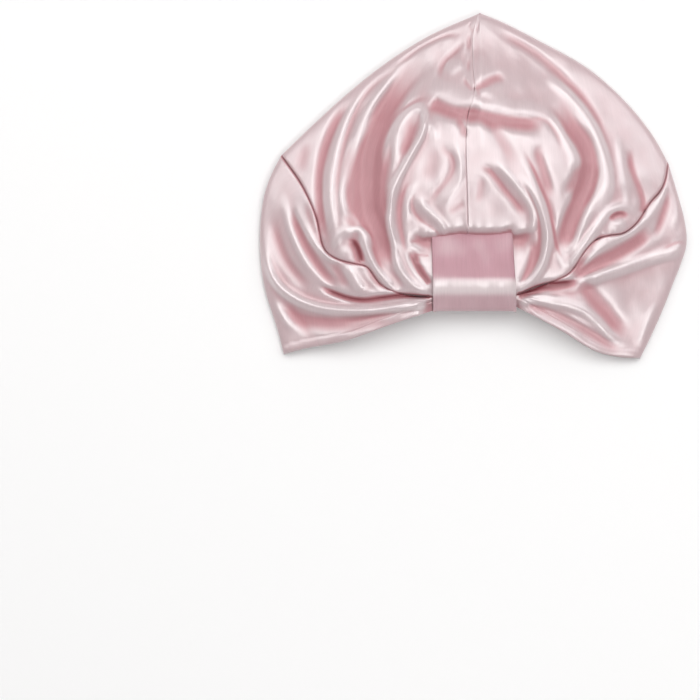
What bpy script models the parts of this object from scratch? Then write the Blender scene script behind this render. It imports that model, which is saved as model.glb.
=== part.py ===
"""A satin sleep bonnet that lies on a surface with its pinched front up.

+X runs across the bonnet, +Y from the mouth to the crown's tip, +Z up. The origin is under the middle of its
box. Places in the tables are shares: x of bonnet_width and y of bonnet_length, both from the middle. Each
crown half and each wrap is one cloth that runs from the front round the side fold to the back.
"""

from collections import namedtuple

import bmesh
import bpy
import numpy as np

# Driving sizes, in metres
bonnet_width = 0.301
bonnet_length = 0.2436
cloth_wall = 0.0016
loop_width = 0.0602
casing_wall = 0.0028
seam_gap = 0.0007
edge_gap = 0.0010
edge_gap_reach = 0.005
piece_gap = 0.0005
loop_gap = 0.00066
casing_end_gap = 0.0014
edge_radius = 0.0052
dome_height = 0.029
dome_reach = 0.050
mouth_share = 0.50
mouth_slope = (0.12, -0.42)
back_recess = 0.0036
recess_slope = (-0.38, -0.22)
back_reach = 0.030
fold_height = 0.010
back_fold_height = 0.014
least_cavity = 0.0045
pleat_pitch = 0.0095
pleat_height = 0.0013

# Widths near the side folds, in edge radii: where folds, the cavity and the smoothing reach their full size
fold_ease = 2.2
cavity_ease = 3.0
calm_ease = 4.0

# Share of bonnet_width at which the cloth beside the loop begins
beside_loop = (loop_width / 2 + loop_gap) / bonnet_width

# Cells of each net
crown_rows = 22
wrap_rows = 10
lip_columns = 4
loop_side_columns = 5
seam_columns = 15
back_columns = 11
casing_rows = 2
casing_cells_a_pleat = 6
loop_sections = 5
loop_corners = 24
edge_shares = (0.16, 0.48)
smoothing_rounds = 900
points_a_span = 16
fold_cells = 24
edge_cells = 40

# Outline of one side, as (x, y) shares: x is read from the middle line of the bonnet.
tip = (0.015, 0.500)
centre_front = (tip, (0.000, 0.450), (-0.003, 0.350), (0.000, 0.265), (-0.018, 0.170), (-0.018, 0.000),
                (-0.015, -0.143))
centre_back = (tip, (0.032, 0.370), (0.055, 0.250), (0.045, 0.130), (-0.005, 0.020))
twist_line = ((-0.005, 0.020), (0.020, -0.060), (0.018, -0.150), (-0.012, -0.205), (-0.025, -0.283))

Side = namedtuple("Side", "name sign crown_edge wrap_edge lip loop_side seam loop_edge hem seam_back hem_back"
                          " hem_back_columns casing_end casing_seam")
left_side = Side(
    name="left", sign=-1,
    crown_edge=(tip, (-0.100, 0.437), (-0.200, 0.360), (-0.300, 0.262), (-0.400, 0.148), (-0.450, 0.088)),
    wrap_edge=((-0.450, 0.088), (-0.484, 0.000), (-0.500, -0.140), (-0.490, -0.290), (-0.458, -0.420),
               (-0.444, -0.488)),
    lip=((-0.015, -0.143), (-0.060, -0.150), (-beside_loop, -0.156)),
    loop_side=((-beside_loop, -0.156), (-beside_loop, -0.240), (-beside_loop, -0.318)),
    seam=((-beside_loop, -0.318), (-0.160, -0.312), (-0.215, -0.290), (-0.252, -0.235), (-0.300, -0.222),
          (-0.343, -0.195), (-0.370, -0.085), (-0.402, 0.002), (-0.450, 0.088)),
    loop_edge=((-beside_loop, -0.318), (-beside_loop, -0.362)),
    hem=((-beside_loop, -0.362), (-0.200, -0.405), (-0.300, -0.449), (-0.400, -0.473), (-0.444, -0.488)),
    seam_back=((-0.450, 0.088), (-0.405, 0.096), (-0.320, 0.122), (-0.200, 0.124), (-0.090, 0.096),
               (-0.005, 0.020)),
    hem_back=((-0.444, -0.488), (-0.370, -0.440), (-0.2575, -0.394)), hem_back_columns=5,
    casing_end=((-0.2575, -0.394), (-0.2575, -0.348)),
    casing_seam=((-0.2575, -0.348), (-0.160, -0.320), (-0.025, -0.290)),
)
right_side = Side(
    name="right", sign=1,
    crown_edge=(tip, (0.060, 0.478), (0.150, 0.422), (0.270, 0.338), (0.360, 0.238), (0.420, 0.145),
                (0.456, 0.066)),
    wrap_edge=((0.456, 0.066), (0.486, -0.060), (0.500, -0.160), (0.470, -0.275), (0.422, -0.420),
               (0.390, -0.500)),
    lip=((-0.015, -0.143), (0.050, -0.149), (beside_loop, -0.152)),
    loop_side=((beside_loop, -0.152), (beside_loop, -0.240), (beside_loop, -0.316)),
    seam=((beside_loop, -0.316), (0.160, -0.288), (0.222, -0.254), (0.258, -0.190), (0.290, -0.153),
          (0.350, -0.138), (0.386, -0.100), (0.404, -0.062), (0.444, 0.000), (0.456, 0.066)),
    loop_edge=((beside_loop, -0.316), (beside_loop, -0.348)),
    hem=((beside_loop, -0.348), (0.200, -0.418), (0.290, -0.482), (0.345, -0.497), (0.390, -0.500)),
    seam_back=((0.456, 0.066), (0.330, 0.078), (0.200, 0.048), (0.090, 0.022), (-0.005, 0.020)),
    hem_back=((0.390, -0.500), (0.320, -0.474), (0.220, -0.368), (0.118, -0.337)), hem_back_columns=6,
    casing_end=((0.118, -0.337), (0.118, -0.298)),
    casing_seam=((0.118, -0.298), (0.050, -0.284), (-0.025, -0.290)),
)

# The lower edge of the gathered casing, from its left end to its right end
casing_bottom = ((-0.2575, -0.392), (-0.150, -0.362), (0.000, -0.342), (0.118, -0.337))

# Section of the flattened loop: y as a share of bonnet_length, height as a share of the mouth's height
loop_section = ((-0.1330, 0.944), (-0.1650, 1.052), (-0.2300, 1.145), (-0.2950, 1.205), (-0.3300, 1.116),
                (-0.3530, 0.904), (-0.3590, 0.723), (-0.3480, 0.635), (-0.3200, 0.723), (-0.2600, 0.843),
                (-0.1900, 0.803), (-0.1500, 0.763), (-0.1350, 0.803))

# One row a fold: its line as (x, y) shares, its height and its crest's lean to the left as shares of the fold
# height, its widths to the left and right of the line as shares of bonnet_width, and the shares of its length
# over which each end fades. A height below zero is a valley.
Fold = namedtuple("Fold", "line height left right lean fade_in fade_out")
front_folds = (
    # Seams
    Fold(centre_front, -0.22, 0.020, 0.020, 0.0, 0.10, 0.02),
    Fold(left_side.seam, -0.45, 0.026, 0.026, 0.0, 0.05, 0.05),
    Fold(right_side.seam, -0.45, 0.026, 0.026, 0.0, 0.05, 0.05),
    # Left half of the crown, from its edge inwards
    Fold(((-0.26, 0.28), (-0.32, 0.16), (-0.345, 0.00), (-0.325, -0.15)), 0.45, 0.026, 0.028, 0.0, 0.3, 0.25),
    Fold(((-0.10, 0.40), (-0.21, 0.31), (-0.28, 0.14), (-0.30, -0.02), (-0.27, -0.13), (-0.225, -0.24)),
         0.60, 0.032, 0.036, 0.0, 0.25, 0.2),
    Fold(((-0.12, 0.34), (-0.20, 0.25), (-0.245, 0.12), (-0.250, 0.00), (-0.235, -0.12), (-0.210, -0.25)),
         -1.05, 0.048, 0.048, 0.0, 0.25, 0.15),
    Fold(((-0.07, 0.255), (-0.14, 0.235), (-0.185, 0.10), (-0.200, -0.05), (-0.185, -0.20), (-0.120, -0.30)),
         1.15, 0.034, 0.040, 0.30, 0.2, 0.15),
    Fold(((-0.11, 0.16), (-0.150, 0.03), (-0.160, -0.10), (-0.130, -0.24)), 0.45, 0.028, 0.036, 0.0,
         0.3, 0.3),
    Fold(((-0.09, 0.11), (-0.080, 0.03), (-0.110, -0.03)), -0.40, 0.040, 0.034, 0.0, 0.3, 0.3),
    Fold(((-0.15, -0.05), (-0.105, -0.09), (-0.060, -0.145)), 0.35, 0.030, 0.026, 0.0, 0.3, 0.1),
    # Across the centre seam
    Fold(((-0.13, 0.270), (-0.04, 0.260), (0.05, 0.250), (0.15, 0.215)), 0.50, 0.050, 0.026, 0.0, 0.3, 0.3),
    Fold(((-0.12, 0.215), (-0.05, 0.195), (0.05, 0.178), (0.15, 0.160)), -0.95, 0.030, 0.050, 0.0,
         0.25, 0.3),
    # Right half of the crown, from its edge inwards
    Fold(((0.06, 0.42), (0.20, 0.32), (0.30, 0.16), (0.335, 0.00), (0.335, -0.06)), -0.50, 0.034, 0.034, 0.0,
         0.3, 0.25),
    Fold(((0.10, 0.32), (0.21, 0.25), (0.285, 0.10), (0.300, -0.03), (0.255, -0.14), (0.222, -0.23)),
         0.75, 0.036, 0.034, 0.0, 0.25, 0.2),
    Fold(((0.17, 0.24), (0.235, 0.12), (0.250, 0.00), (0.225, -0.12), (0.212, -0.24)), -1.00, 0.038, 0.036,
         0.0, 0.3, 0.15),
    Fold(((0.15, 0.18), (0.195, 0.06), (0.195, -0.08), (0.205, -0.22)), 0.60, 0.030, 0.026, 0.0, 0.3, 0.2),
    Fold(((0.13, 0.12), (0.165, 0.00), (0.180, -0.10), (0.170, -0.22)), -0.60, 0.024, 0.024, 0.0, 0.3, 0.2),
    Fold(((0.08, 0.14), (0.125, 0.03), (0.155, -0.08), (0.155, -0.20), (0.112, -0.300)), 0.85, 0.034, 0.030,
         0.0, 0.3, 0.15),
    Fold(((0.02, 0.04), (0.075, 0.01), (0.125, -0.08), (0.125, -0.135)), -0.40, 0.030, 0.030, 0.0, 0.3, 0.2),
    # The gathered lip over the loop
    Fold(((-0.150, -0.118), (-0.060, -0.118), (0.040, -0.112), (0.135, -0.112)), 0.45, 0.036, 0.034, 0.0,
         0.2, 0.2),
    # Left wrap
    Fold(((-0.488, -0.22), (-0.44, -0.305), (-0.33, -0.360), (-0.21, -0.353), (-0.115, -0.336)), 0.75, 0.034,
         0.030, 0.0, 0.2, 0.1),
    Fold(((-0.37, -0.300), (-0.27, -0.330), (-0.19, -0.322), (-0.115, -0.318)), -0.95, 0.024, 0.024, 0.0,
         0.3, 0.1),
    Fold(((-0.415, -0.06), (-0.385, -0.16), (-0.300, -0.265), (-0.230, -0.308)), 0.55, 0.034, 0.028, 0.0,
         0.3, 0.3),
    Fold(((-0.445, -0.06), (-0.430, -0.18), (-0.350, -0.285)), -0.45, 0.026, 0.026, 0.0, 0.3, 0.3),
    # Right wrap
    Fold(((0.44, -0.02), (0.40, -0.105), (0.32, -0.165), (0.25, -0.225)), 0.50, 0.026, 0.026, 0.0, 0.3, 0.2),
    Fold(((0.465, -0.06), (0.38, -0.180), (0.27, -0.235)), -0.40, 0.030, 0.030, 0.0, 0.3, 0.3),
    Fold(((0.490, -0.162), (0.38, -0.205), (0.26, -0.252), (0.115, -0.300)), 0.60, 0.030, 0.020, 0.0,
         0.1, 0.1),
    Fold(((0.26, -0.285), (0.31, -0.350), (0.355, -0.440)), -0.55, 0.034, 0.034, 0.0, 0.3, 0.3),
    Fold(((0.13, -0.300), (0.19, -0.300), (0.25, -0.285)), -0.55, 0.030, 0.026, 0.0, 0.3, 0.3),
    Fold(((0.12, -0.335), (0.22, -0.362), (0.33, -0.450)), 0.35, 0.034, 0.034, 0.0, 0.3, 0.3),
)

# The same for the back, seen from above through the bonnet: a height above zero stands out downwards.
back_folds = (
    Fold(centre_back, -0.30, 0.026, 0.026, 0.0, 0.10, 0.05),
    Fold(twist_line, -0.40, 0.032, 0.032, 0.0, 0.05, 0.10),
    Fold(left_side.seam_back, -0.35, 0.026, 0.026, 0.0, 0.15, 0.05),
    Fold(right_side.seam_back, -0.35, 0.026, 0.026, 0.0, 0.15, 0.05),
    # Pleat across the left half, and the tuck above the twist
    Fold(((-0.39, 0.215), (-0.22, 0.220), (-0.10, 0.225)), 0.50, 0.050, 0.036, 0.0, 0.2, 0.3),
    Fold(((-0.37, 0.170), (-0.20, 0.175), (-0.07, 0.170)), -0.55, 0.036, 0.036, 0.0, 0.2, 0.3),
    Fold(((0.115, 0.430), (0.130, 0.330), (0.095, 0.200), (0.035, 0.085)), 0.55, 0.036, 0.044, 0.0, 0.2, 0.2),
    Fold(((0.085, 0.400), (0.080, 0.300), (0.050, 0.150)), -0.50, 0.036, 0.034, 0.0, 0.3, 0.3),
    # Left wrap
    Fold(((-0.35, -0.03), (-0.25, 0.045), (-0.12, 0.055), (-0.04, 0.010)), 0.55, 0.044, 0.044, 0.0, 0.3, 0.2),
    Fold(((-0.36, -0.08), (-0.22, -0.020), (-0.08, -0.015)), -0.60, 0.044, 0.040, 0.0, 0.3, 0.3),
    Fold(((-0.42, -0.06), (-0.34, -0.210), (-0.265, -0.310)), -0.55, 0.044, 0.044, 0.0, 0.3, 0.1),
    Fold(((-0.26, -0.10), (-0.205, -0.220), (-0.165, -0.300)), -0.60, 0.044, 0.044, 0.0, 0.3, 0.1),
    Fold(((-0.20, -0.060), (-0.130, -0.130), (-0.075, -0.250)), 0.45, 0.044, 0.044, 0.0, 0.3, 0.2),
    # Right wrap
    Fold(((0.075, 0.00), (0.080, -0.090), (0.040, -0.170)), -0.55, 0.040, 0.044, 0.0, 0.3, 0.3),
    Fold(((0.14, -0.190), (0.200, -0.140), (0.270, -0.120)), -0.60, 0.048, 0.046, 0.0, 0.3, 0.3),
    Fold(((0.22, -0.230), (0.320, -0.090), (0.420, -0.060)), 0.45, 0.044, 0.044, 0.0, 0.3, 0.3),
    Fold(((0.30, -0.300), (0.350, -0.190), (0.410, -0.110)), -0.65, 0.044, 0.044, 0.0, 0.3, 0.3),
)

satin_pink = (0.78, 0.56, 0.58, 1.0)
loop_pink = (0.70, 0.46, 0.50, 1.0)


def in_metres(points):
    """The (x, y) shares as metres."""
    return np.array(points, float) * (bonnet_width, bonnet_length)


def smooth_path(points, shares):
    """Points at these shares of the length of a smooth curve through the given points."""
    steps = np.linalg.norm(np.diff(points, axis=0), axis=1)
    at = np.concatenate([[0.0], np.cumsum(steps)])
    slopes = np.diff(points, axis=0) / steps[:, None]
    tangents = np.vstack([slopes[:1], slopes[1:] + slopes[:-1], slopes[-1:]])
    tangents[1:-1] *= 0.5
    fine = np.linspace(0.0, at[-1], points_a_span * len(steps) + 1)
    span = np.clip(np.searchsorted(at, fine, side="right") - 1, 0, len(steps) - 1)
    width = steps[span][:, None]
    t = (fine - at[span])[:, None] / width
    curve = ((1 + 2 * t) * (1 - t) ** 2 * points[span] + t * (1 - t) ** 2 * width * tangents[span]
             + t ** 2 * (3 - 2 * t) * points[span + 1] - t ** 2 * (1 - t) * width * tangents[span + 1])
    run = np.concatenate([[0.0], np.cumsum(np.linalg.norm(np.diff(curve, axis=0), axis=1))])
    wanted = np.asarray(shares) * run[-1]
    return np.stack([np.interp(wanted, run, curve[:, k]) for k in range(points.shape[1])], axis=-1)


def path_points(points, cells):
    """The points that split the smooth curve into this many equal cells."""
    return smooth_path(in_metres(points), np.linspace(0.0, 1.0, cells + 1))


def joined(*paths):
    """Paths that follow one another, with each shared end kept once."""
    return np.vstack([paths[0]] + [path[1:] for path in paths[1:]])


def filled_net(start, end, head, foot):
    """A net between four edges. Each inner point settles where the net runs smoothly through it."""
    down = np.linspace(0.0, 1.0, len(start))[:, None, None]
    over = np.linspace(0.0, 1.0, len(foot))[None, :, None]
    corners = ((1 - down) * ((1 - over) * head[0] + over * head[-1])
               + down * ((1 - over) * foot[0] + over * foot[-1]))
    net = ((1 - over) * start[:, None] + over * end[:, None] + (1 - down) * head[None] + down * foot[None]
           - corners)
    for _ in range(smoothing_rounds):
        east, west = net[1:-1, 2:], net[1:-1, :-2]
        south, north = net[2:, 1:-1], net[:-2, 1:-1]
        sideways = (((south - north) / 2) ** 2).sum(-1, keepdims=True) + 1e-12
        lengthways = (((east - west) / 2) ** 2).sum(-1, keepdims=True) + 1e-12
        skew = ((east - west) * (south - north)).sum(-1, keepdims=True) / 4
        twist = (net[2:, 2:] - net[:-2, 2:] - net[2:, :-2] + net[:-2, :-2]) / 4
        settled = (sideways * (east + west) + lengthways * (north + south) - 2 * skew * twist)
        net[1:-1, 1:-1] = settled / (2 * (sideways + lengthways))
    return net


def evened(net):
    """The net with the points of each column spread evenly along it."""
    shares = np.linspace(0.0, 1.0, len(net))
    spread = net.copy()
    for column in range(net.shape[1]):
        line = net[:, column]
        run = np.concatenate([[0.0], np.cumsum(np.linalg.norm(np.diff(line, axis=0), axis=1))])
        for axis in range(2):
            spread[:, column, axis] = np.interp(shares * run[-1], run, line[:, axis])
    return spread


def over_the_edge(front, back):
    """The front and back nets as one, with extra columns close to the side fold. Also says which is front."""
    last, first = front[:, -2], back[:, 1]
    edge = front[:, -1]
    near = [edge + (last - edge) * share for share in reversed(edge_shares)]
    beyond = [edge + (first - edge) * share for share in edge_shares]
    net = np.concatenate([front[:, :-1], np.stack(near + [edge] + beyond, axis=1), back[:, 1:]], axis=1)
    side = np.full(net.shape[:2], -1)
    side[:, :front.shape[1] - 1 + len(near)] = 1
    side[:, front.shape[1] - 1 + len(near)] = 0
    return net, side


def pulled_in(net, column, inner):
    """Moves one seam column towards its neighbour by half the gap, and by more at the side folds."""
    reach = net[:, inner] - net[:, column]
    length = np.maximum(np.linalg.norm(reach, axis=1, keepdims=True), 1e-9)
    at_edge = np.exp(-edge_distance(net[:, column]) / edge_gap_reach)[:, None]
    net[:, column] += reach / length * (seam_gap / 2 + edge_gap * at_edge)


def nearest_on(points, line):
    """Distance, side and share of the line's length of each point's nearest place on the line."""
    start, step = line[:-1], np.diff(line, axis=0)
    length = np.linalg.norm(step, axis=1)
    away = points[:, None] - start[None]
    along = np.clip((away * step).sum(-1) / length ** 2, 0.0, 1.0)
    gap = away - along[..., None] * step
    distance = np.linalg.norm(gap, axis=-1)
    best = distance.argmin(axis=1)
    row = np.arange(len(points))
    cross = step[best, 0] * away[row, best, 1] - step[best, 1] * away[row, best, 0]
    before = np.concatenate([[0.0], np.cumsum(length)])
    share = (before[best] + along[row, best] * length[best]) / before[-1]
    heading = step[best] / length[best][:, None]
    return distance[row, best], np.sign(cross), share, heading


def eased(value):
    value = np.clip(value, 0.0, 1.0)
    return value * value * (3 - 2 * value)


def sloped(points, slope):
    """Zero where y is at the slope's first share of bonnet_length, one at its second."""
    return eased((points[:, 1] / bonnet_length - slope[0]) / (slope[1] - slope[0]))


def folded(points, folds, full_height):
    """Height and sideways lean that the folds give at each point. Their shares are of full_height."""
    height = np.zeros(len(points))
    lean = np.zeros_like(points)
    for fold in folds:
        line = path_points(fold.line, fold_cells)
        distance, side, share, heading = nearest_on(points, line)
        width = np.where(side > 0, fold.left, fold.right) * bonnet_width
        crest = np.cos(np.pi / 2 * np.clip(distance / width, 0.0, 1.0)) ** 2
        crest *= eased(share / fold.fade_in) * eased((1 - share) / fold.fade_out)
        height += fold.height * full_height * crest
        sideways = np.stack([-heading[:, 1], heading[:, 0]], axis=1)
        lean += sideways * (fold.lean * full_height * crest)[:, None]
    return height, lean


def edge_distance(points):
    """How far each point lies inside the side folds."""
    edges = [path_points(side.crown_edge, edge_cells) for side in (left_side, right_side)]
    edges += [path_points(side.wrap_edge, edge_cells) for side in (left_side, right_side)]
    return np.min([nearest_on(points, edge)[0] for edge in edges], axis=0)


def rolled(distance):
    """Height of the round side fold at this distance from its outermost line."""
    inside = np.clip(1 - distance / edge_radius, 0.0, 1.0)
    return edge_radius * np.sqrt(1 - inside ** 2)


def front_height(points):
    distance = edge_distance(points)
    dome = dome_height * (1 - np.exp(-(distance / dome_reach) ** 2))
    towards_mouth = sloped(points, mouth_slope)
    folds, lean = folded(points, front_folds, fold_height)
    ease = eased(distance / (fold_ease * edge_radius))
    height = edge_radius + rolled(distance) + dome * (1 - mouth_share * towards_mouth) + folds * ease
    return height, lean * ease[:, None]


def back_height(points):
    distance = edge_distance(points)
    folds, lean = folded(points, back_folds, back_fold_height)
    ease = eased(distance / (fold_ease * edge_radius))
    from_mouth = sloped(points, recess_slope)
    recess = back_recess * (1 - np.exp(-(distance / back_reach) ** 2)) * from_mouth
    height = edge_radius - rolled(distance) + recess - folds * ease
    return np.maximum(height, 0.0), lean * ease[:, None]


def calmed(grid, weight):
    """The grid with each inner height averaged with its neighbours, so that coarse cells show no kinks."""
    height = grid[..., 2]
    around = (height[1:-1, 2:] + height[1:-1, :-2] + height[2:, 1:-1] + height[:-2, 1:-1]) / 4
    grid[1:-1, 1:-1, 2] += (around - height[1:-1, 1:-1]) * weight[1:-1, 1:-1]
    return grid


def lifted(net, side):
    """Gives each point of the net its height, on the front, on the back or on the side fold between them."""
    points = net.reshape(-1, 2)
    where = side.reshape(-1)
    top, top_lean = front_height(points)
    bottom, bottom_lean = back_height(points)
    top = np.maximum(top, bottom + least_cavity * eased(edge_distance(points) / (cavity_ease * edge_radius)))
    height = np.where(where > 0, top, np.where(where < 0, bottom, edge_radius))
    lean = np.where(where[:, None] > 0, top_lean, np.where(where[:, None] < 0, bottom_lean, 0.0))
    grid = np.column_stack([points + lean, height]).reshape(net.shape[0], net.shape[1], 3)
    off_edge = eased(edge_distance(points) / (calm_ease * edge_radius)).reshape(side.shape)
    return calmed(grid, off_edge / 2)


def crown_net(side):
    rows = crown_rows
    foot = joined(path_points(side.lip, lip_columns), path_points(side.loop_side, loop_side_columns),
                  path_points(side.seam, seam_columns))
    edge = path_points(side.crown_edge, rows)
    pole = np.repeat(in_metres(tip)[None], len(foot), axis=0)
    front = filled_net(path_points(centre_front, rows), edge, pole, foot)
    back_foot = path_points(side.seam_back, back_columns)
    back = filled_net(edge, path_points(centre_back, rows), pole[:len(back_foot)], back_foot)
    net, where = over_the_edge(evened(front), evened(back))
    pulled_in(net, 0, 1)
    pulled_in(net, -1, -2)
    net[0] = in_metres(tip) + (side.sign * (seam_gap / 2 + edge_gap), -seam_gap / 2)
    pulled_in(net.transpose(1, 0, 2), -1, -2)
    return net, where


def wrap_net(side):
    rows = wrap_rows
    edge = path_points(side.wrap_edge, rows)
    front = filled_net(path_points(side.loop_edge, rows), edge, path_points(side.seam, seam_columns),
                       path_points(side.hem, seam_columns))
    foot = joined(path_points(side.hem_back, side.hem_back_columns), path_points(side.casing_end, 1),
                  path_points(side.casing_seam, back_columns - side.hem_back_columns - 1))
    back = filled_net(edge, path_points(twist_line, rows), path_points(side.seam_back, back_columns), foot)
    net, where = over_the_edge(front, back)
    pulled_in(net, 0, 1)
    pulled_in(net, -1, -2)
    pulled_in(net.transpose(1, 0, 2), 0, 1)
    return net, where


def material(name, colour, roughness):
    made = bpy.data.materials.new(name)
    made.use_nodes = True
    shader = made.node_tree.nodes["Principled BSDF"]
    shader.inputs["Base Color"].default_value = colour
    shader.inputs["Roughness"].default_value = roughness
    shader.inputs["Metallic"].default_value = 0.0
    return made


def sheet(name, grid, wall, turn_over, finish, collection):
    """A cloth from a grid of places: a flat grid is shaped by them, and gets its wall inwards."""
    rows, columns = grid.shape[:2]
    form = bmesh.new()
    bmesh.ops.create_grid(form, x_segments=columns - 1, y_segments=rows - 1, size=1.0)
    for vertex in form.verts:
        column = round((vertex.co.x + 1) / 2 * (columns - 1))
        row = round((vertex.co.y + 1) / 2 * (rows - 1))
        vertex.co = grid[row, column]
    bmesh.ops.remove_doubles(form, verts=form.verts, dist=1e-6)
    if turn_over:
        bmesh.ops.reverse_faces(form, faces=form.faces)
    mesh = bpy.data.meshes.new(name)
    form.to_mesh(mesh)
    form.free()
    mesh.shade_smooth()
    mesh.materials.append(finish)
    made = bpy.data.objects.new(name, mesh)
    collection.objects.link(made)
    cloth = made.modifiers.new("Cloth wall", "SOLIDIFY")
    cloth.thickness = wall
    cloth.offset = -1.0
    cloth.use_rim = True
    return made


def crowns(finish, collection):
    for side in (left_side, right_side):
        net, where = crown_net(side)
        sheet("crown_" + side.name, lifted(net, where), cloth_wall, side.sign > 0, finish, collection)


def wraps(finish, collection):
    for side in (left_side, right_side):
        net, where = wrap_net(side)
        sheet("wrap_" + side.name, lifted(net, where), cloth_wall, side.sign > 0, finish, collection)


def front_loop(finish, collection):
    """The loop: its closed section, carried across the front."""
    mouth_height = 2 * edge_radius + dome_height * (1 - mouth_share)
    section = np.array(loop_section + loop_section[:1], float) * (bonnet_length, mouth_height)
    ring = smooth_path(section, np.linspace(0.0, 1.0, loop_corners + 1))
    across = np.linspace(-loop_width / 2, loop_width / 2, loop_sections)
    grid = np.zeros((loop_sections, loop_corners + 1, 3))
    grid[..., 0] = across[:, None]
    grid[..., 1:] = ring[None]
    sheet("front_loop", grid, cloth_wall, False, finish, collection)


def nape_casing(finish, collection):
    """The casing: a strip whose pleats repeat along it, pressed flat where it rests."""
    top_line = left_side.casing_seam + right_side.casing_seam[-2::-1]
    length = np.linalg.norm(in_metres(top_line[0]) - in_metres(top_line[-1]))
    pleats = max(2, round(length / pleat_pitch))
    cells = pleats * casing_cells_a_pleat
    top, bottom = path_points(top_line, cells), path_points(casing_bottom, cells)
    top[:, 1] -= piece_gap
    down = np.linspace(0.0, 1.0, casing_rows + 1)[:, None, None]
    plan = (1 - down) * top[None] + down * bottom[None]
    middle = plan[..., :1].mean()
    plan[..., :1] = middle + (plan[..., :1] - middle) * (1 - 2 * casing_end_gap / length)
    wave = 1 - np.cos(2 * np.pi * pleats * np.linspace(0.0, 1.0, cells + 1))
    height = np.repeat((pleat_height * wave)[None, :, None], casing_rows + 1, axis=0)
    sheet("nape_casing", np.concatenate([plan, height], axis=2), casing_wall, False, finish, collection)


def build():
    for made in list(bpy.data.objects):
        bpy.data.objects.remove(made)
    collection = bpy.data.collections.new("sleep_bonnet")
    bpy.context.scene.collection.children.link(collection)
    satin = material("satin", satin_pink, 0.35)
    band = material("satin_band", loop_pink, 0.4)
    crowns(satin, collection)
    wraps(satin, collection)
    front_loop(band, collection)
    nape_casing(satin, collection)


build()
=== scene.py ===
from collections import namedtuple

import bpy
import numpy as np
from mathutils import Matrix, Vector


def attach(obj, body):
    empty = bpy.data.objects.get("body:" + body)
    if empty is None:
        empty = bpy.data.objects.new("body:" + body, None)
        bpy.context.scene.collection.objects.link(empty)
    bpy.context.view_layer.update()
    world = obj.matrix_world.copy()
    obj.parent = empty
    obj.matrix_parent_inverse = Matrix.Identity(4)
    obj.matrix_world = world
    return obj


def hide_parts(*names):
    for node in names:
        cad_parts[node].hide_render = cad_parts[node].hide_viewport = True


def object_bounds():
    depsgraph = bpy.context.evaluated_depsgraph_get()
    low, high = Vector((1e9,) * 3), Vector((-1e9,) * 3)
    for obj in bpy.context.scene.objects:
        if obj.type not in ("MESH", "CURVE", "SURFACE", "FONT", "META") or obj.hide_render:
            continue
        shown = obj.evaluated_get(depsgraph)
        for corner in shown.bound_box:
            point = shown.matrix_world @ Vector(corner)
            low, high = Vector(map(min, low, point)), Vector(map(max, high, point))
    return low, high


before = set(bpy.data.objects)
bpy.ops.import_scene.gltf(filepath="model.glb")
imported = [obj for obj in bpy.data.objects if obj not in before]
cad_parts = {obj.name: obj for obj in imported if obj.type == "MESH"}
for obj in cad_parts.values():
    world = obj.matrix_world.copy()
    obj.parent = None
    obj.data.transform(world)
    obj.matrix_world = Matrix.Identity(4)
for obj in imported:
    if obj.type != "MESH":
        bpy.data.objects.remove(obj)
cadLow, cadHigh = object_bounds()

# Places in the tables are shares of the bonnet's width and length, from the middle of its box.
# Heights are shares of foldHeight, and widths across a fold are shares of the bonnet's width.
bonnetWidth = cadHigh.x - cadLow.x
bonnetLength = cadHigh.y - cadLow.y
bonnetHeight = cadHigh.z - cadLow.z
foldHeight = 0.122 * bonnetHeight
backFoldHeight = 0.28 * bonnetHeight

print("stage: studio")
studio = {
    "metresPerPixel": 0.0007,
    "framePixels": 700,
    "objectAt": (474.2, 184.85),   # the middle of the bonnet in the picture
    "lens": 200,
    "sensor": 36,
    "floorReach": 60.0,
    "floorShade": 0.93,
    "floorRoughness": 0.9,
    "floorSpecular": 0.1,
    "skyShade": (1.0, 0.985, 0.985),
    "skyAbove": 0.10,
    "skyRound": 0.50,
    # name: place, width and length, power, colour
    "lights": {
        "left panel": ((-1.05, 0.55, 1.20), (0.95, 0.95), 5.2, (1.0, 0.99, 0.985)),
        "right panel": ((1.05, 0.60, 1.20), (0.95, 0.95), 5.2, (0.985, 0.995, 1.0)),
        "top panel": ((0.05, 1.05, 3.20), (2.40, 3.60), 69.0, (1.0, 0.995, 0.99)),
        "near panel": ((0.50, -0.80, 1.65), (0.85, 0.85), 7.5, (1.0, 0.99, 0.985)),
    },
}


def link(made):
    # Puts a new object into the scene
    bpy.context.scene.collection.objects.link(made)
    return made


def makeCamera():
    # Straight down, at the height where the frame spans its pixels at the picture's scale
    middle = studio["framePixels"] / 2
    across = studio["framePixels"] * studio["metresPerPixel"]
    camera = bpy.data.cameras.new("camera")
    camera.lens = studio["lens"]
    camera.sensor_width = studio["sensor"]
    made = link(bpy.data.objects.new("camera", camera))
    px, py = studio["objectAt"]
    made.location = ((middle - px) * studio["metresPerPixel"], (py - middle) * studio["metresPerPixel"],
                     across * studio["lens"] / studio["sensor"] + bonnetHeight / 2)
    camera.clip_end = 2 * studio["floorReach"]
    bpy.context.scene.camera = made


def makeFloor():
    # One wide pale face under the bonnet
    reach = studio["floorReach"]
    mesh = bpy.data.meshes.new("floor")
    mesh.from_pydata([(-reach, -reach, 0), (reach, -reach, 0), (reach, reach, 0), (-reach, reach, 0)],
                     [], [(0, 1, 2, 3)])
    finish = bpy.data.materials.new("pale floor")
    finish.use_nodes = True
    shader = finish.node_tree.nodes["Principled BSDF"]
    shade = studio["floorShade"]
    shader.inputs["Base Color"].default_value = (shade, shade, shade, 1)
    shader.inputs["Roughness"].default_value = studio["floorRoughness"]
    shader.inputs["Specular IOR Level"].default_value = studio["floorSpecular"]
    mesh.materials.append(finish)
    link(bpy.data.objects.new("floor", mesh))


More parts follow.
